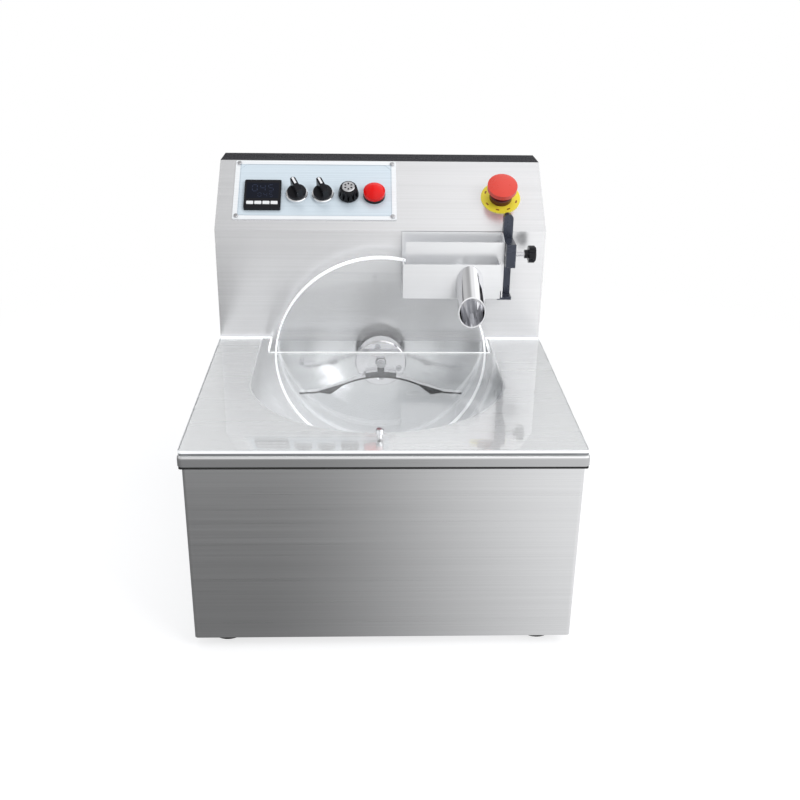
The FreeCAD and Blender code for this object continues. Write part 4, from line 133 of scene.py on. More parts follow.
class Graph:
    """Short words for building one node tree. A value is a number, a colour or a socket."""

    def __init__(self, tree):
        self.tree = tree
        tree.nodes.clear()

    def add(self, kind, *inputs, **values):
        """A new node, with its first inputs in order, and its settings and other inputs by name,
        each space written as _."""
        node = self.tree.nodes.new("ShaderNode" + kind)
        for name, value in values.items():
            if hasattr(node, name):
                setattr(node, name, value)
            else:
                self.put(node.inputs[name.replace("_", " ")], value)
        for socket, value in zip(node.inputs, inputs):
            self.put(socket, value)
        return node

    def put(self, socket, value):
        if isinstance(value, bpy.types.NodeSocket):
            self.tree.links.new(value, socket)
        elif isinstance(value, tuple) and len(value) == 3 and socket.type == "RGBA":
            socket.default_value = (*value, 1.0)
        else:
            socket.default_value = value

    def math(self, operation, first, second=0.0, clamp=False):
        return self.add("Math", first, second, operation=operation, use_clamp=clamp).outputs[0]

    def vector(self, operation, *inputs, output="Vector", **values):
        return self.add("VectorMath", *inputs, operation=operation, **values).outputs[output]

    def dot(self, first, second):
        return self.vector("DOT_PRODUCT", first, second, output="Value")

    def length(self, vector):
        return self.vector("LENGTH", vector, output="Value")

    def unit(self, vector):
        return self.vector("NORMALIZE", vector)

    def times(self, vector, amount):
        return self.vector("SCALE", vector, Scale=amount)

    def parts(self, vector):
        return self.add("SeparateXYZ", vector).outputs

    def joined(self, x, y, z):
        return self.add("CombineXYZ", x, y, z).outputs[0]

    def beyond(self, value, middle, half):
        """How far a value lies outside a range of that middle and half width."""
        away = self.math("ABSOLUTE", self.math("SUBTRACT", value, middle))
        return self.math("SUBTRACT", away, half)

    def ramp(self, value, low, high, to_low=0.0, to_high=1.0):
        """A smooth step from one value at low to another at high."""
        return self.add("MapRange", value, low, high, to_low, to_high,
                        interpolation_type="SMOOTHSTEP").outputs[0]

    def blend(self, amount, first, second):
        node = self.add("Mix", amount, data_type="RGBA")
        self.put(node.inputs[6], first)
        self.put(node.inputs[7], second)
        return node.outputs[2]

    def blend_ways(self, amount, first, second):
        node = self.add("Mix", amount, data_type="VECTOR")
        self.put(node.inputs[4], first)
        self.put(node.inputs[5], second)
        return node.outputs[1]

    def noise(self, vector, scale, detail, roughness=0.6):
        node = self.add("TexNoise", Vector=vector, Scale=scale, Detail=detail, Roughness=roughness)
        return node.outputs["Fac"]

    def stretched_noise(self, vector, scale, detail):
        """Noise with a scale of its own along each axis."""
        mapped = self.add("Mapping", Vector=vector, Scale=scale).outputs[0]
        return self.noise(mapped, 1.0, detail)

    def bump(self, height, strength, distance):
        return self.add("Bump", Height=height, Strength=strength, Distance=distance).outputs[0]

    def shader(self, kind, *inputs, **values):
        return self.add(kind, *inputs, **values).outputs[0]

    def by_ray(self, seen, mirrored, lit):
        """One shader for what is seen straight or through glass, one for what metal mirrors, and
        one for the light that falls on the machine."""
        rays = self.add("LightPath").outputs
        straight = self.math("MAXIMUM", rays["Is Camera Ray"], rays["Is Transmission Ray"])
        indirect = self.shader("MixShader", rays["Is Glossy Ray"], lit, mirrored)
        return self.shader("MixShader", straight, indirect, seen)


class Surface(Graph):
    """A new material under construction, with one Principled shader."""

    def __init__(self, name):
        self.material = bpy.data.materials.new(name)
        self.material.use_nodes = True
        super().__init__(self.material.node_tree)
        self.principled = self.add("BsdfPrincipled")
        self.add("OutputMaterial", Surface=self.principled.outputs[0])
        coordinates = self.add("TexCoord").outputs
        self.place = coordinates["Object"]
        self.facing = coordinates["Normal"]

    def complete(self, **values):
        """Sets the shader's inputs, each space in a name written as _, and gives the material."""
        for name, value in values.items():
            self.put(self.principled.inputs[name.replace("_", " ")], value)
        return self.material


def shades(colour, spread):
    """A darker and a lighter shade of a colour."""
    return (tuple(channel * (1 - spread) for channel in colour),
            tuple(min(1.0, channel * (1 + spread)) for channel in colour))


# Materials

# How deep the finest relief is, in metres
SCRATCH_DEPTH = 0.00003
LATHE_DEPTH = 0.00004
TEXTURE_DEPTH = 0.0001

# Brushing: its scales, how far it is drawn out, and the soft change of tone over a whole sheet
FINE_GRAIN = 900.0
BROAD_GRAIN = 190.0
GRAIN_STRETCH = 0.004
CLOUD_SCALE = 6.0
CLOUD = 0.03

LATHE_RINGS = 2500.0


def brushed(name, colour, rough, streak=0.05, relief=0.05, pull=0.5, metal=1.0, painted_side_shade=None, top=None):
    """Brushed sheet. The grain runs level on upright and leaning faces and along X on flat ones;
    it shows in colour, roughness, relief and the highlights, which pull stretches. The colour
    given for faces that don't look up is a painted shade on them, and top is the colour of
    level faces, which are then fully metallic; a top darker than the sheet is a painted shade."""
    sheet = Surface(name)
    normal = sheet.add("NewGeometry").outputs["Normal"]
    # A little of X gives flat faces a direction too
    along = sheet.vector("ADD", sheet.vector("CROSS_PRODUCT", (0.0, 0.0, 1.0), normal), (0.001, 0.0, 0.0))
    across = sheet.unit(sheet.vector("CROSS_PRODUCT", normal, along))

    x, y, z = sheet.parts(sheet.place)
    upward = sheet.parts(sheet.facing)[2]
    flat = sheet.ramp(sheet.math("ABSOLUTE", upward), 0.9, 0.95)
    deep = sheet.math("MULTIPLY", y, sheet.ramp(flat, 0.0, 1.0, GRAIN_STRETCH, 1.0))
    grain = sheet.joined(sheet.math("MULTIPLY", x, GRAIN_STRETCH), deep, z)
    fine = sheet.noise(grain, FINE_GRAIN, 3.0)
    broad = sheet.noise(grain, BROAD_GRAIN, 4.0, 0.7)
    tone = sheet.math("ADD", sheet.math("MULTIPLY", fine, 0.55), sheet.math("MULTIPLY", broad, 0.45))

    shade = sheet.blend(sheet.ramp(tone, 0.32, 0.68), *shades(colour, streak))
    cloudy = sheet.math("MULTIPLY", sheet.noise(sheet.place, CLOUD_SCALE, 2.0), CLOUD)
    tinted = sheet.times(shade, sheet.math("ADD", 1 - CLOUD / 2, cloudy))
    # Painted shade: faces that don't look up are given the darker colour
    if painted_side_shade:
        tinted = sheet.blend(sheet.ramp(upward, 0.25, 0.45), painted_side_shade, tinted)
    # Level faces take the top colour; where it is darker than the sheet it is a painted shade
    if top:
        tinted = sheet.blend(flat, tinted, top)
        metal = sheet.ramp(flat, 0.0, 1.0, metal, 1.0)
    return sheet.complete(Base_Color=tinted, Metallic=metal, Anisotropic=pull, Tangent=across,
                          Roughness=sheet.ramp(tone, 0.25, 0.75, rough * 0.88, rough * 1.12),
                          Normal=sheet.bump(tone, relief, SCRATCH_DEPTH))


def polished(name, colour, rough, scratch=0.15, metal=1.0):
    """Polished steel with faint scratches and smears along X."""
    steel = Surface(name)
    smear = steel.stretched_noise(steel.place, (18.0, 60.0, 60.0), 4.0)
    fine = steel.stretched_noise(steel.place, (300.0, 1200.0, 1200.0), 3.0)
    return steel.complete(Base_Color=steel.blend(smear, shades(colour, 0.05)[0], colour),
                          Metallic=metal,
                          Roughness=steel.ramp(smear, 0.3, 0.7, rough * 0.8, rough * 1.25),
                          Normal=steel.bump(fine, scratch, SCRATCH_DEPTH))


def from_axle(graph, place):
    """The way from the wheel's axis straight out to a point."""
    return graph.vector("MULTIPLY", graph.vector("SUBTRACT", place, AXLE), (1.0, 0.0, 1.0))


def turned(name, colour, rough, pull):
    """Lathe-turned steel about the wheel's axis: fine rings, and highlights that fan out on the
    faces and run along the axis on the sides."""
    steel = Surface(name)
    out = from_axle(steel, steel.place)
    rings = steel.joined(steel.math("MULTIPLY", steel.length(out), LATHE_RINGS), 0.0, 0.0)
    lines = steel.noise(rings, 1.0, 4.0)
    side = steel.ramp(steel.math("ABSOLUTE", steel.parts(steel.facing)[1]), 0.8, 0.6)
    return steel.complete(Base_Color=steel.blend(lines, shades(colour, 0.08)[0], colour),
                          Metallic=1.0, Anisotropic=pull,
                          Tangent=steel.blend_ways(side, steel.unit(out), (0.0, 1.0, 0.0)),
                          Roughness=steel.ramp(lines, 0.3, 0.7, rough * 0.8, rough * 1.2),
                          Normal=steel.bump(lines, 0.3, LATHE_DEPTH))


def moulded(name, colour, rough, speck=900.0, relief=0.1, coat=0.0, metal=0.0, gloss=0.5, glow=0.0):
    """Moulded plastic, rubber, casting or paint: faint texture and slightly uneven gloss."""
    skin = Surface(name)
    grain = skin.noise(skin.place, speck, 3.0)
    soft = skin.noise(skin.place, 40.0, 3.0)
    return skin.complete(Base_Color=skin.blend(soft, *shades(colour, 0.09)),
                         Metallic=metal, Coat_Weight=coat, Specular_IOR_Level=gloss,
                         Emission_Color=colour, Emission_Strength=glow,
                         Roughness=skin.ramp(soft, 0.3, 0.7, rough * 0.85, rough * 1.15),
                         Normal=skin.bump(grain, relief, TEXTURE_DEPTH))


# Clear acrylic and its frosted edges, which are given a painted glow. The lower half of the
# lid's front edge is painted a darker shade, without the glow.
ACRYLIC = (0.985, 0.992, 0.995)
ACRYLIC_INDEX = 1.49
# The darker colour of the lower half of the lid's front edge, a painted shade
FROST = (0.96, 0.97, 0.98)
PAINTED_SHADE_FROST = (0.27, 0.28, 0.29)
FROST_ROUGHNESS = 0.38
FROST_CLEARNESS = 0.15
# Colour and strength of the painted glow on the frosted edges
PAINTED_EDGE_GLOW = (0.96, 0.98, 1.0)
PAINTED_GLOW_STRENGTH = 0.4

# The frosted bands beside the lid's notch, which carry the painted glow, reach from its back to about
# SIDE_BAND_START
SIDE_BAND_START = 0.0605
SIDE_BAND_FADE = 0.36


def from_rim(graph, place):
    """How far a point of the wheel lies inside its rim."""
    return graph.math("SUBTRACT", WHEEL_RADIUS, graph.length(from_axle(graph, place)))


def from_notch(graph, place):
    """How far a point of the lid lies from its back edge, or from a side of its notch. In front of
    SIDE_BAND_START the notch's sides soon count as far away."""
    x, y, _ = graph.parts(place)
    beside = graph.beyond(x, NOTCH_MIDDLE, NOTCH_HALF)
    before = graph.math("MULTIPLY", graph.math("SUBTRACT", SIDE_BAND_START, y), SIDE_BAND_FADE)
    inside = graph.math("SUBTRACT", LID_BACK, y)
    return graph.math("MINIMUM", graph.math("MAXIMUM", beside, before), inside)


def clear(name, faces, distance, band):
    """Clear acrylic: polished faces with a few faint smears, and sawn edges that are frosted and given
    a painted glow, as is a narrow band where distance is less than band. faces is the polished faces'
    direction. The lower half of the lid's front edge is a painted darker shade, without the glow."""
    sheet = Surface(name)
    facing = sheet.math("ABSOLUTE", sheet.dot(sheet.facing, faces))
    beside = sheet.ramp(distance(sheet, sheet.place), band * 1.15, band * 0.85)
    edge = sheet.math("MAXIMUM", sheet.ramp(facing, 0.92, 0.6), beside)
    _, y, z = sheet.parts(sheet.place)
    # Painted shade: the lower half of the lid's front edge is darker and loses the painted glow
    painted_shade_half = sheet.math("MULTIPLY", sheet.ramp(y, LID_FRONT + 0.002, LID_FRONT + 0.001),
                      sheet.ramp(z, LID_MIDDLE + 0.0003, LID_MIDDLE - 0.0003))
    # Painted glow on the frosted edges and bands, less the shaded lower half of the lid's front edge
    painted_glow = sheet.math("SUBTRACT", edge, painted_shade_half)
    smear = sheet.ramp(sheet.stretched_noise(sheet.place, (25.0, 25.0, 70.0), 3.0), 0.45, 0.8, 0.0, 0.03)
    saw = sheet.stretched_noise(sheet.place, (500.0, 500.0, 500.0), 2.0)
    frost_and_painted_shade = sheet.blend(painted_shade_half, FROST, PAINTED_SHADE_FROST)
    rough = sheet.math("MAXIMUM", smear, sheet.math("MULTIPLY", edge, FROST_ROUGHNESS))
    # The emission is the painted glow
    return sheet.complete(Base_Color=sheet.blend(edge, ACRYLIC, frost_and_painted_shade), IOR=ACRYLIC_INDEX,
                          Roughness=rough, Emission_Color=PAINTED_EDGE_GLOW,
                          Emission_Strength=sheet.math("MULTIPLY", painted_glow, PAINTED_GLOW_STRENGTH, clamp=True),
                          Transmission_Weight=sheet.ramp(edge, 0.0, 1.0, 1.0, FROST_CLEARNESS),
                          Normal=sheet.bump(sheet.math("MULTIPLY", saw, edge), 0.2, TEXTURE_DEPTH))


LABEL_BORDER = 0.006
BORDER_BLUR = 0.0003
# Where the narrow darker line lies, a painted shadow of the border's recess
SHADOW_LINE_GAP = 0.0008
SHADOW_LINE_INNER, SHADOW_LINE_OUTER = 0.0002, 0.0007


def label_paint(name, field, border, line):
    """The label's pale field with a paler border and, between the two, a narrow darker line that is a
    painted shadow of the border's recess.
    """
    paint = Surface(name)
    low, high = panel_box("label_plate")
    middle = (low + high) / 2
    half = (high - low) / 2
    x = paint.parts(paint.place)[0]
    rise = paint.dot(paint.vector("SUBTRACT", paint.place, CREASE), RISE)
    past = paint.math("MAXIMUM", paint.beyond(x, middle.x, half.x), paint.beyond(rise, middle.y, half.y))
    inset = paint.math("ADD", past, LABEL_BORDER)
    rim = paint.ramp(inset, -BORDER_BLUR, BORDER_BLUR)
    # Painted shadow: a narrow darker line round the field
    painted_shadow_line = paint.ramp(paint.math("ABSOLUTE", paint.math("ADD", inset, SHADOW_LINE_GAP)), SHADOW_LINE_OUTER, SHADOW_LINE_INNER)
    brush = paint.stretched_noise(paint.place, (4.0, 700.0, 700.0), 3.0)
    shade = paint.blend(rim, paint.blend(brush, *shades(field, 0.025)), border)
    return paint.complete(Base_Color=paint.blend(painted_shadow_line, shade, line), Specular_IOR_Level=0.5,
                          Roughness=paint.ramp(brush, 0.3, 0.7, 0.22, 0.32),
                          Normal=paint.bump(brush, 0.06, SCRATCH_DEPTH))


FINISHES = {
    "front": brushed("front_brushed", (0.66, 0.665, 0.675), 0.30, streak=0.045, relief=0.08, pull=0.55),
    # The wall's dark top colour is a painted shade on its level faces
    "wall": brushed("housing_brushed", (0.82, 0.82, 0.832), 0.24, streak=0.04, relief=0.03, pull=0.4,
                    metal=0.66, top=(0.40, 0.40, 0.42)),
    # The plate's darker colour for faces that don't look up, such as its lip, is a painted shade
    "plate": brushed("plate_brushed", (0.83, 0.833, 0.84), 0.29, streak=0.02, relief=0.03, pull=0.6,
                     metal=0.8, painted_side_shade=(0.47, 0.473, 0.48)),
    "back": brushed("cover_brushed", (0.55, 0.555, 0.57), 0.36, streak=0.06),
    "food": brushed("scraper_steel", (0.90, 0.905, 0.92), 0.24, streak=0.02, relief=0.02, pull=0.3,
                    metal=0.5),
    # The blade's near-black colour for faces that don't look up is a painted shade
    "blade": brushed("blade_steel", (0.90, 0.905, 0.92), 0.22, streak=0.03, relief=0.02, pull=0.3,
                     metal=0.6, painted_side_shade=(0.012, 0.012, 0.014)),
    # The hanger's dark colour for faces that don't look up is a painted shade
    "hanger": brushed("hanger_steel", (0.85, 0.855, 0.87), 0.22, streak=0.03, relief=0.02, pull=0.3,
                      painted_side_shade=(0.10, 0.103, 0.11)),
    "bowl": polished("bowl_polished", (0.95, 0.955, 0.965), 0.17, scratch=0.03, metal=0.80),
    "tube": polished("spout_polished", (0.86, 0.86, 0.88), 0.06, scratch=0.03),
    "screw": polished("screw_steel", (0.62, 0.62, 0.64), 0.25),
    "cap": polished("cap_spun", (0.70, 0.70, 0.72), 0.22),
    "chrome": polished("bezel_chrome", (0.93, 0.93, 0.94), 0.12, scratch=0.03, metal=0.8),
    "turned": turned("hub_turned", (0.90, 0.90, 0.92), 0.11, 0.85),
    "wheel": clear("wheel_acrylic", (0.0, 1.0, 0.0), from_rim, 0.0021),
    "lid": clear("lid_acrylic", (0.0, 0.0, 1.0), from_notch, 0.0016),
    # The label's last colour is its narrow line, a painted shadow of the border's recess
    "label": label_paint("label_paint", (0.66, 0.75, 0.82), (0.88, 0.90, 0.92), (0.50, 0.57, 0.63)),
    "slate": moulded("post_slate", (0.055, 0.062, 0.085), 0.28, 700.0, 0.12, metal=0.5, gloss=0.4),
    "black": moulded("plastic_black", (0.010, 0.010, 0.013), 0.16, relief=0.04, gloss=0.22),
    "gloss": moulded("window_black", (0.004, 0.006, 0.014), 0.06, relief=0.01, gloss=0.25),
    "digit": moulded("digit_blue", (0.008, 0.015, 0.042), 0.3, relief=0.02),
    "key": moulded("key_white", (0.86, 0.87, 0.88), 0.3),
    # Pale lever lines: pointer marks that are also a painted highlight
    "mark": moulded("mark_pale", (0.88, 0.89, 0.91), 0.35),
    "red": moulded("lamp_red", (0.78, 0.004, 0.004), 0.10, relief=0.02, gloss=0.3, glow=0.05),
    "stop_red": moulded("stop_red", (0.74, 0.065, 0.045), 0.30),
    "collar": moulded("collar_dark_red", (0.10, 0.014, 0.012), 0.32),
    "yellow": moulded("stop_yellow", (0.97, 0.83, 0.06), 0.40),
    "brown": moulded("mark_brown", (0.28, 0.07, 0.02), 0.45),
    "rubber": moulded("foot_rubber", (0.02, 0.02, 0.02), 0.7, 500.0, 0.3),
    "heater": moulded("heater_rubber", (0.50, 0.12, 0.05), 0.6, 500.0, 0.3),
    "wiper": moulded("wiper_white", (0.80, 0.80, 0.78), 0.45),
    "cast": moulded("cast_aluminium", (0.50, 0.51, 0.52), 0.45, 600.0, 0.4, metal=1.0),
    "zinc": moulded("bracket_zinc", (0.45, 0.46, 0.47), 0.4, 300.0, 0.2, metal=0.8),
    "motor": moulded("motor_black", (0.02, 0.02, 0.022), 0.35, 600.0, 0.2, coat=0.2),
    "board": moulded("board_green", (0.02, 0.14, 0.06), 0.35, 400.0, 0.2),
    "terminal": moulded("terminal_grey", (0.55, 0.55, 0.52), 0.45),
}

# The nodes that wear each finish
WEARERS = {
    "front": ["cabinet_wrap"],
    "wall": ["rear_housing"],
    "plate": ["top_plate"],
    "back": ["rear_cover", "base_plate"],
    "food": ["scraper_frame", "scraper_trough"],
    "blade": ["stirring_blade"],
    "hanger": ["blade_hanger"],
    "bowl": ["melting_tank"],
    "tube": ["spout_tube", "lid_knob"],
    "screw": ["foot_screws", "panel_screws", "wheel_fasteners", "frame_fasteners", "blade_bolt",
              "temperature_probe", "clamp_screw", "speed_pot"],
    "cap": ["speed_knob_cap"],
    "chrome": ["selector_bodies"],
    "turned": ["front_hub", "rear_hub", "wheel_shaft", "shaft_bearings", "output_shaft"],
    "wheel": ["dosing_disc"],
    "lid": ["tank_lid"],
    "label": ["label_plate"],
    "slate": ["support_post"],
    "black": ["controller_case", "heat_knob", "motor_knob", "speed_knob", "lamp_body",
              "panel_nuts", "star_knob", "power_inlet"],
    "gloss": ["controller_window"],
    "key": ["controller_key_1", "controller_key_2", "controller_key_3", "controller_key_4"],
    "red": ["lamp_lens"],
    "stop_red": ["stop_head"],
    "collar": ["stop_body", "stop_stem"],
    "yellow": ["stop_ring"],
    "rubber": ["rubber_feet", "shaft_seal"],
    "heater": ["heater_mat"],
    "wiper": ["wiper_pads"],
    "cast": ["bearing_housing", "shaft_coupling", "gearbox"],
    "zinc": ["motor_bracket"],
    "motor": ["drive_motor"],
    "board": ["speed_board"],
    "terminal": ["terminal_block"],
}
CLEAR_NODES = ("dosing_disc", "tank_lid")
SMOOTH_ANGLE = math.radians(35)


def dress_nodes():
    """Gives every node its finish. Clear sheet lets the lamps' light through."""
    for finish, names in WEARERS.items():
        for name in names:
            mesh = nodes[name].data
            mesh.materials.clear()
            mesh.materials.append(FINISHES[finish])
            mesh.polygons.foreach_set("use_smooth", [True] * len(mesh.polygons))
            mesh.set_sharp_from_angle(angle=SMOOTH_ANGLE)
    undressed = set(nodes) - {name for names in WEARERS.values() for name in names}
    if undressed:
        raise RuntimeError(f"no material for {sorted(undressed)}")
    for name in CLEAR_NODES:
        nodes[name].visible_shadow = False


dress_nodes()


# Pieces of the scene

def add_piece(name, form, finish, body):
    """A closed form as a piece with its finish, on its body."""
    bmesh.ops.recalc_face_normals(form, faces=form.faces)
    mesh = bpy.data.meshes.new(name)
    form.to_mesh(mesh)
    form.free()
    mesh.materials.append(FINISHES[finish])
    piece = bpy.data.objects.new(name, mesh)
    scene.collection.objects.link(piece)
    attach(piece, body)


# Inlays and marks on the control panel, each a thin raised plate. Outlines are (x, rise) points.

INLAY_THICKNESS = 0.0002
INLAY_BEVEL = 0.0001
DIGIT_THICKNESS = 0.00006
DIGIT_BEVEL = 0.00002

# Each stroke of a digit: its middle as shares of the digit's width and height, and if it is upright
STROKES = {
    "a": ((0.5, 1.0), False), "b": ((1.0, 0.75), True), "c": ((1.0, 0.25), True),
    "d": ((0.5, 0.0), False), "e": ((0.0, 0.25), True), "f": ((0.0, 0.75), True),
    "g": ((0.5, 0.5), False),
}
DIGITS = {"0": "abcdef", "4": "bcfg", "5": "acdfg"}
STROKE_HALF = 0.09
STROKE_GAP = 1.2
DISPLAY_TEXT = "045"

# Each row of digits: its left end and foot from the window's middle, a digit's width and height,
# and the step from one to the next
DISPLAY_ROWS = (
    (-0.0135, -0.001, 0.0062, 0.0105, 0.0105),
    (-0.006, -0.0105, 0.0042, 0.0065, 0.0075),
)

# Each lever's node, body and joint, and its pale line, which points along X before it is turned.
# The line is a pointer mark that is also a painted highlight along the lever's top.
LEVERS = (("heat_knob", "heat_switch", "heat_turn"), ("motor_knob", "motor_switch", "motor_turn"))
LEVER_ANGLE = math.radians(115)
LEVER_LINE = [(0.0015, -0.0014), (0.0118, -0.0014), (0.0124, 0.0), (0.0118, 0.0014), (0.0015, 0.0014)]

# One of the marks round the middle of the speed knob's cap
PETAL = [(0.0030, -0.0006), (0.0052, -0.0013), (0.0060, 0.0), (0.0052, 0.0013), (0.0030, 0.0006)]
PETAL_ANGLES = [math.radians(degrees) for degrees in range(30, 390, 60)]

# Where each mark on the stop's ring begins, and the steps of its arc, in degrees
MARK_STARTS = (150, 205, 250, 290, 335, 25)
MARK_STEPS = (0, 6, 12)
MARK_INNER = 0.0204
MARK_OUTER = 0.0222


def add_inlay(name, body, finish, shapes, height, thick=INLAY_THICKNESS, bevel=INLAY_BEVEL):
    """Plates with a small bevel, half sunk into a face of the given height."""
    form = bmesh.new()
    for shape in shapes:
        middle = Vector([sum(places) / len(shape) for places in zip(*shape)])
        rows = []
        for out, inset in ((height - thick, 0.0), (height + thick - bevel, 0.0), (height + thick, bevel)):
            row = []
            for point in shape:
                x, rise = Vector(point) + (middle - Vector(point)).normalized() * inset
                row.append(form.verts.new(CREASE + Vector((x, 0, 0)) + RISE * rise + OUT * out))
            rows.append(row)
        form.faces.new(rows[0])
        form.faces.new(rows[-1])
        for low, high in zip(rows, rows[1:]):
            for k in range(len(shape)):
                form.faces.new((low[k - 1], low[k], high[k], high[k - 1]))
    add_piece(name, form, finish, body)


def turned_shape(shape, centre, angle):
    """An outline turned about its own origin and moved to a centre."""
    c, s = math.cos(angle), math.sin(angle)
    return [(centre[0] + x * c - y * s, centre[1] + x * s + y * c) for x, y in shape]


def arc(centre, radius, angles):
    return [(centre[0] + math.cos(angle) * radius, centre[1] + math.sin(angle) * radius)
            for angle in angles]


def digit_shapes(digit, left, low, width, height):
    """One pointed bar for each stroke of a digit."""
    shapes = []
    half = width * STROKE_HALF
    for stroke in DIGITS[digit]:
        (x, y), upright = STROKES[stroke]
        reach = (height / 4 if upright else width / 2) - half * STROKE_GAP
        bar = [(-reach, 0), (-reach + half, half), (reach - half, half), (reach, 0),
               (reach - half, -half), (-reach + half, -half)]
        if upright:
            bar = [(b, a) for a, b in bar]
        shapes.append([(left + width * x + a, low + height * y + b) for a, b in bar])
    return shapes


def add_display_digits():
    x, rise = panel_middle("controller_window")
    shapes = []
    for left, foot, width, height, step in DISPLAY_ROWS:
        for number, digit in enumerate(DISPLAY_TEXT):
            shapes += digit_shapes(digit, x + left + number * step, rise + foot, width, height)
    add_inlay("display_digits", "machine", "digit", shapes,
              face_height("controller_window"), DIGIT_THICKNESS, DIGIT_BEVEL)


def add_lever_lines():
    for name, body, joint in LEVERS:
        line = turned_shape(LEVER_LINE, on_panel(JOINT_PLACES[joint]), LEVER_ANGLE)
        # A pale pointer mark, also a painted highlight along the lever
        add_inlay(name + "_line", body, "mark", [line], face_height(name))


def add_knob_petals():
    centre = panel_middle("speed_knob_cap")
    petals = [turned_shape(PETAL, centre, angle) for angle in PETAL_ANGLES]
    add_inlay("speed_knob_petals", "speed_dial", "black", petals,
              face_height("speed_knob_cap"))


def add_ring_marks():
    centre = panel_middle("stop_ring")
    marks = []
    for start in MARK_STARTS:
        angles = [math.radians(start + step) for step in MARK_STEPS]
        marks.append(arc(centre, MARK_OUTER, angles) + arc(centre, MARK_INNER, reversed(angles)))
    add_inlay("stop_ring_marks", "machine", "brown", marks, face_height("stop_ring"))


# A dark strip under the plate's lip, a painted shadow
SHADOW_STRIP_PROUD = 0.0024
SHADOW_STRIP_HEIGHT = 0.0042
SHADOW_STRIP_SINK = 0.0002
SHADOW_STRIP_UPRIGHT = 0.7


def add_lip_shadow_strip():
    """A dark strip between the plate's lip and the cabinet, on three sides, that is a painted shadow
    under the lip.
    """
    (left, front, _), (right, _, _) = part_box("cabinet_wrap")
    (_, _, plate_foot), (_, back, _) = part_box("top_plate")
    top = plate_foot + SHADOW_STRIP_SINK
    foot = top - SHADOW_STRIP_HEIGHT
    form = bmesh.new()
    rows = []
    for out, z in ((-SHADOW_STRIP_SINK, top), (SHADOW_STRIP_PROUD, top), (SHADOW_STRIP_PROUD, top - SHADOW_STRIP_HEIGHT * SHADOW_STRIP_UPRIGHT),
                   ((SHADOW_STRIP_PROUD - SHADOW_STRIP_SINK) / 2, foot), (-SHADOW_STRIP_SINK, foot)):
        corners = ((left - out, back), (left - out, front - out), (right + out, front - out),
                   (right + out, back))
        rows.append([form.verts.new((x, y, z)) for x, y in corners])
    for first, second in zip(rows, rows[1:] + rows[:1]):
        for k in range(3):
            form.faces.new((first[k], first[k + 1], second[k + 1], second[k]))
    for end in (0, 3):
        form.faces.new([row[end] for row in rows])
    # Painted shadow: the strip wears the dark rubber finish
    add_piece("lip_shadow_strip", form, "rubber", "machine")


add_display_digits()
add_lever_lines()
add_knob_petals()
add_ring_marks()
add_lip_shadow_strip()


# Studio

WHITE = (1.0, 1.0, 1.0)
SOFT_LIGHT = (0.96, 0.98, 1.0)
DARK_STRIP = (0.04, 0.04, 0.045)
LAMP_TARGET = (0, 0, 0.25)
FLOOR_REACH = 6.0

# The floor's colour for the lamps' light, and its shaded colour and own light as the camera sees it
FLOOR_PAINT = (0.80, 0.80, 0.80)
FLOOR_SHADE = (0.42, 0.42, 0.43)
FLOOR_GLOW = 0.72

# Where the floor turns white, from the middle, and where metal sees it change: along Y towards the
# camera and along X to the right
WHITE_FROM, WHITE_TO = 0.55, 1.3
NEAR_FROM, NEAR_TO = -0.75, -1.3
RIGHT_FROM, RIGHT_TO = -0.16, 0.36


def add_world():
    """White to the camera. Metal sees it brighter to the right, and dark low down behind."""
    world = bpy.data.worlds.new("studio")
    world.use_nodes = True
    world.cycles.sampling_method = "NONE"
    scene.world = world
    sky = Graph(world.node_tree)
    across, behind, high = sky.parts(sky.add("TexCoord").outputs["Generated"])
    around = sky.ramp(across, -0.40, 0.35, 0.60, 1.35)
    overhead = sky.ramp(across, -0.16, 0.14, 0.46, 0.98)
    tone = sky.blend(sky.ramp(high, 0.80, 0.95), around, overhead)
    strip = sky.math("MULTIPLY", sky.ramp(behind, 0.1, 0.4), sky.ramp(high, 0.62, 0.42))
    shader = sky.by_ray(seen=sky.shader("Background", Color=WHITE, Strength=1.0),
                        mirrored=sky.shader("Background", Color=sky.blend(strip, tone, DARK_STRIP),
                                            Strength=1.0),
                        lit=sky.shader("Background", Color=SOFT_LIGHT, Strength=0.5))
    sky.add("OutputWorld", Surface=shader)


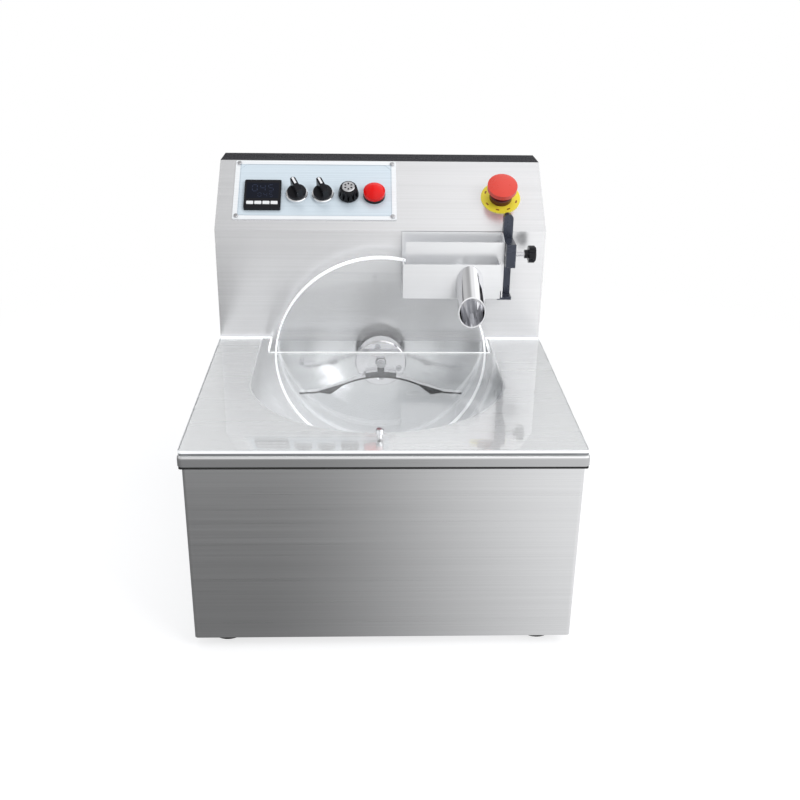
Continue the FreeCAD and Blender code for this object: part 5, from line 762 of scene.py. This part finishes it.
def add_floor():
    """Pale floor with the machine's shadow, white to the camera further off. Metal sees it brighter
    to the right and towards the camera."""
    mesh = bpy.data.meshes.new("floor")
    corners = [(-1, -1, 0), (1, -1, 0), (1, 1, 0), (-1, 1, 0)]
    mesh.from_pydata([Vector(corner) * FLOOR_REACH for corner in corners], [], [(0, 1, 2, 3)])
    floor = bpy.data.objects.new("floor", mesh)
    scene.collection.objects.link(floor)
    material = bpy.data.materials.new("floor_white")
    material.use_nodes = True
    material.cycles.emission_sampling = "NONE"
    ground = Graph(material.node_tree)
    place = ground.add("TexCoord").outputs["Object"]
    x, y, _ = ground.parts(place)

    near = ground.shader("AddShader", ground.shader("BsdfDiffuse", Color=FLOOR_SHADE),
                         ground.shader("Emission", Color=WHITE, Strength=FLOOR_GLOW))
    far = ground.shader("Emission", Color=WHITE, Strength=1.0)
    seen = ground.shader("MixShader", ground.ramp(ground.length(place), WHITE_FROM, WHITE_TO), near, far)

    left = ground.ramp(y, NEAR_FROM, NEAR_TO, 0.21, 0.72)
    right = ground.ramp(y, NEAR_FROM, NEAR_TO, 1.12, 1.30)
    rightward = ground.math("MULTIPLY", ground.ramp(x, RIGHT_FROM, RIGHT_TO),
                            ground.math("SUBTRACT", right, left))
    tone = ground.math("ADD", left, rightward)
    mirrored = ground.shader("Emission", Color=ground.joined(tone, tone, tone), Strength=1.0)

    shader = ground.by_ray(seen, mirrored, lit=ground.shader("BsdfDiffuse", Color=FLOOR_PAINT))
    ground.add("OutputMaterial", Surface=shader)
    mesh.materials.append(material)


def add_lamp(name, place, size, power, seen_through_glass=True):
    """A soft lamp aimed at the machine. Metal mirrors the world and the floor, and not the lamps.
    One that is seen through glass also brightens what lies under the clear sheets."""
    data = bpy.data.lights.new(name, "AREA")
    data.shape = "RECTANGLE"
    data.size, data.size_y = size
    data.energy = power
    lamp = bpy.data.objects.new(name, data)
    scene.collection.objects.link(lamp)
    lamp.visible_glossy = False
    lamp.visible_transmission = seen_through_glass
    way = Vector(LAMP_TARGET) - Vector(place)
    lamp.matrix_world = Matrix.Translation(place) @ way.to_track_quat("-Z", "Y").to_matrix().to_4x4()


add_world()
add_floor()
add_lamp("key", (1.6, -1.4, 1.9), (1.4, 1.4), 28.0)
add_lamp("fill", (-1.9, -1.2, 1.3), (1.2, 1.2), 4.0)
add_lamp("top", (0.1, 0.2, 2.3), (1.8, 1.2), 13.0, seen_through_glass=False)
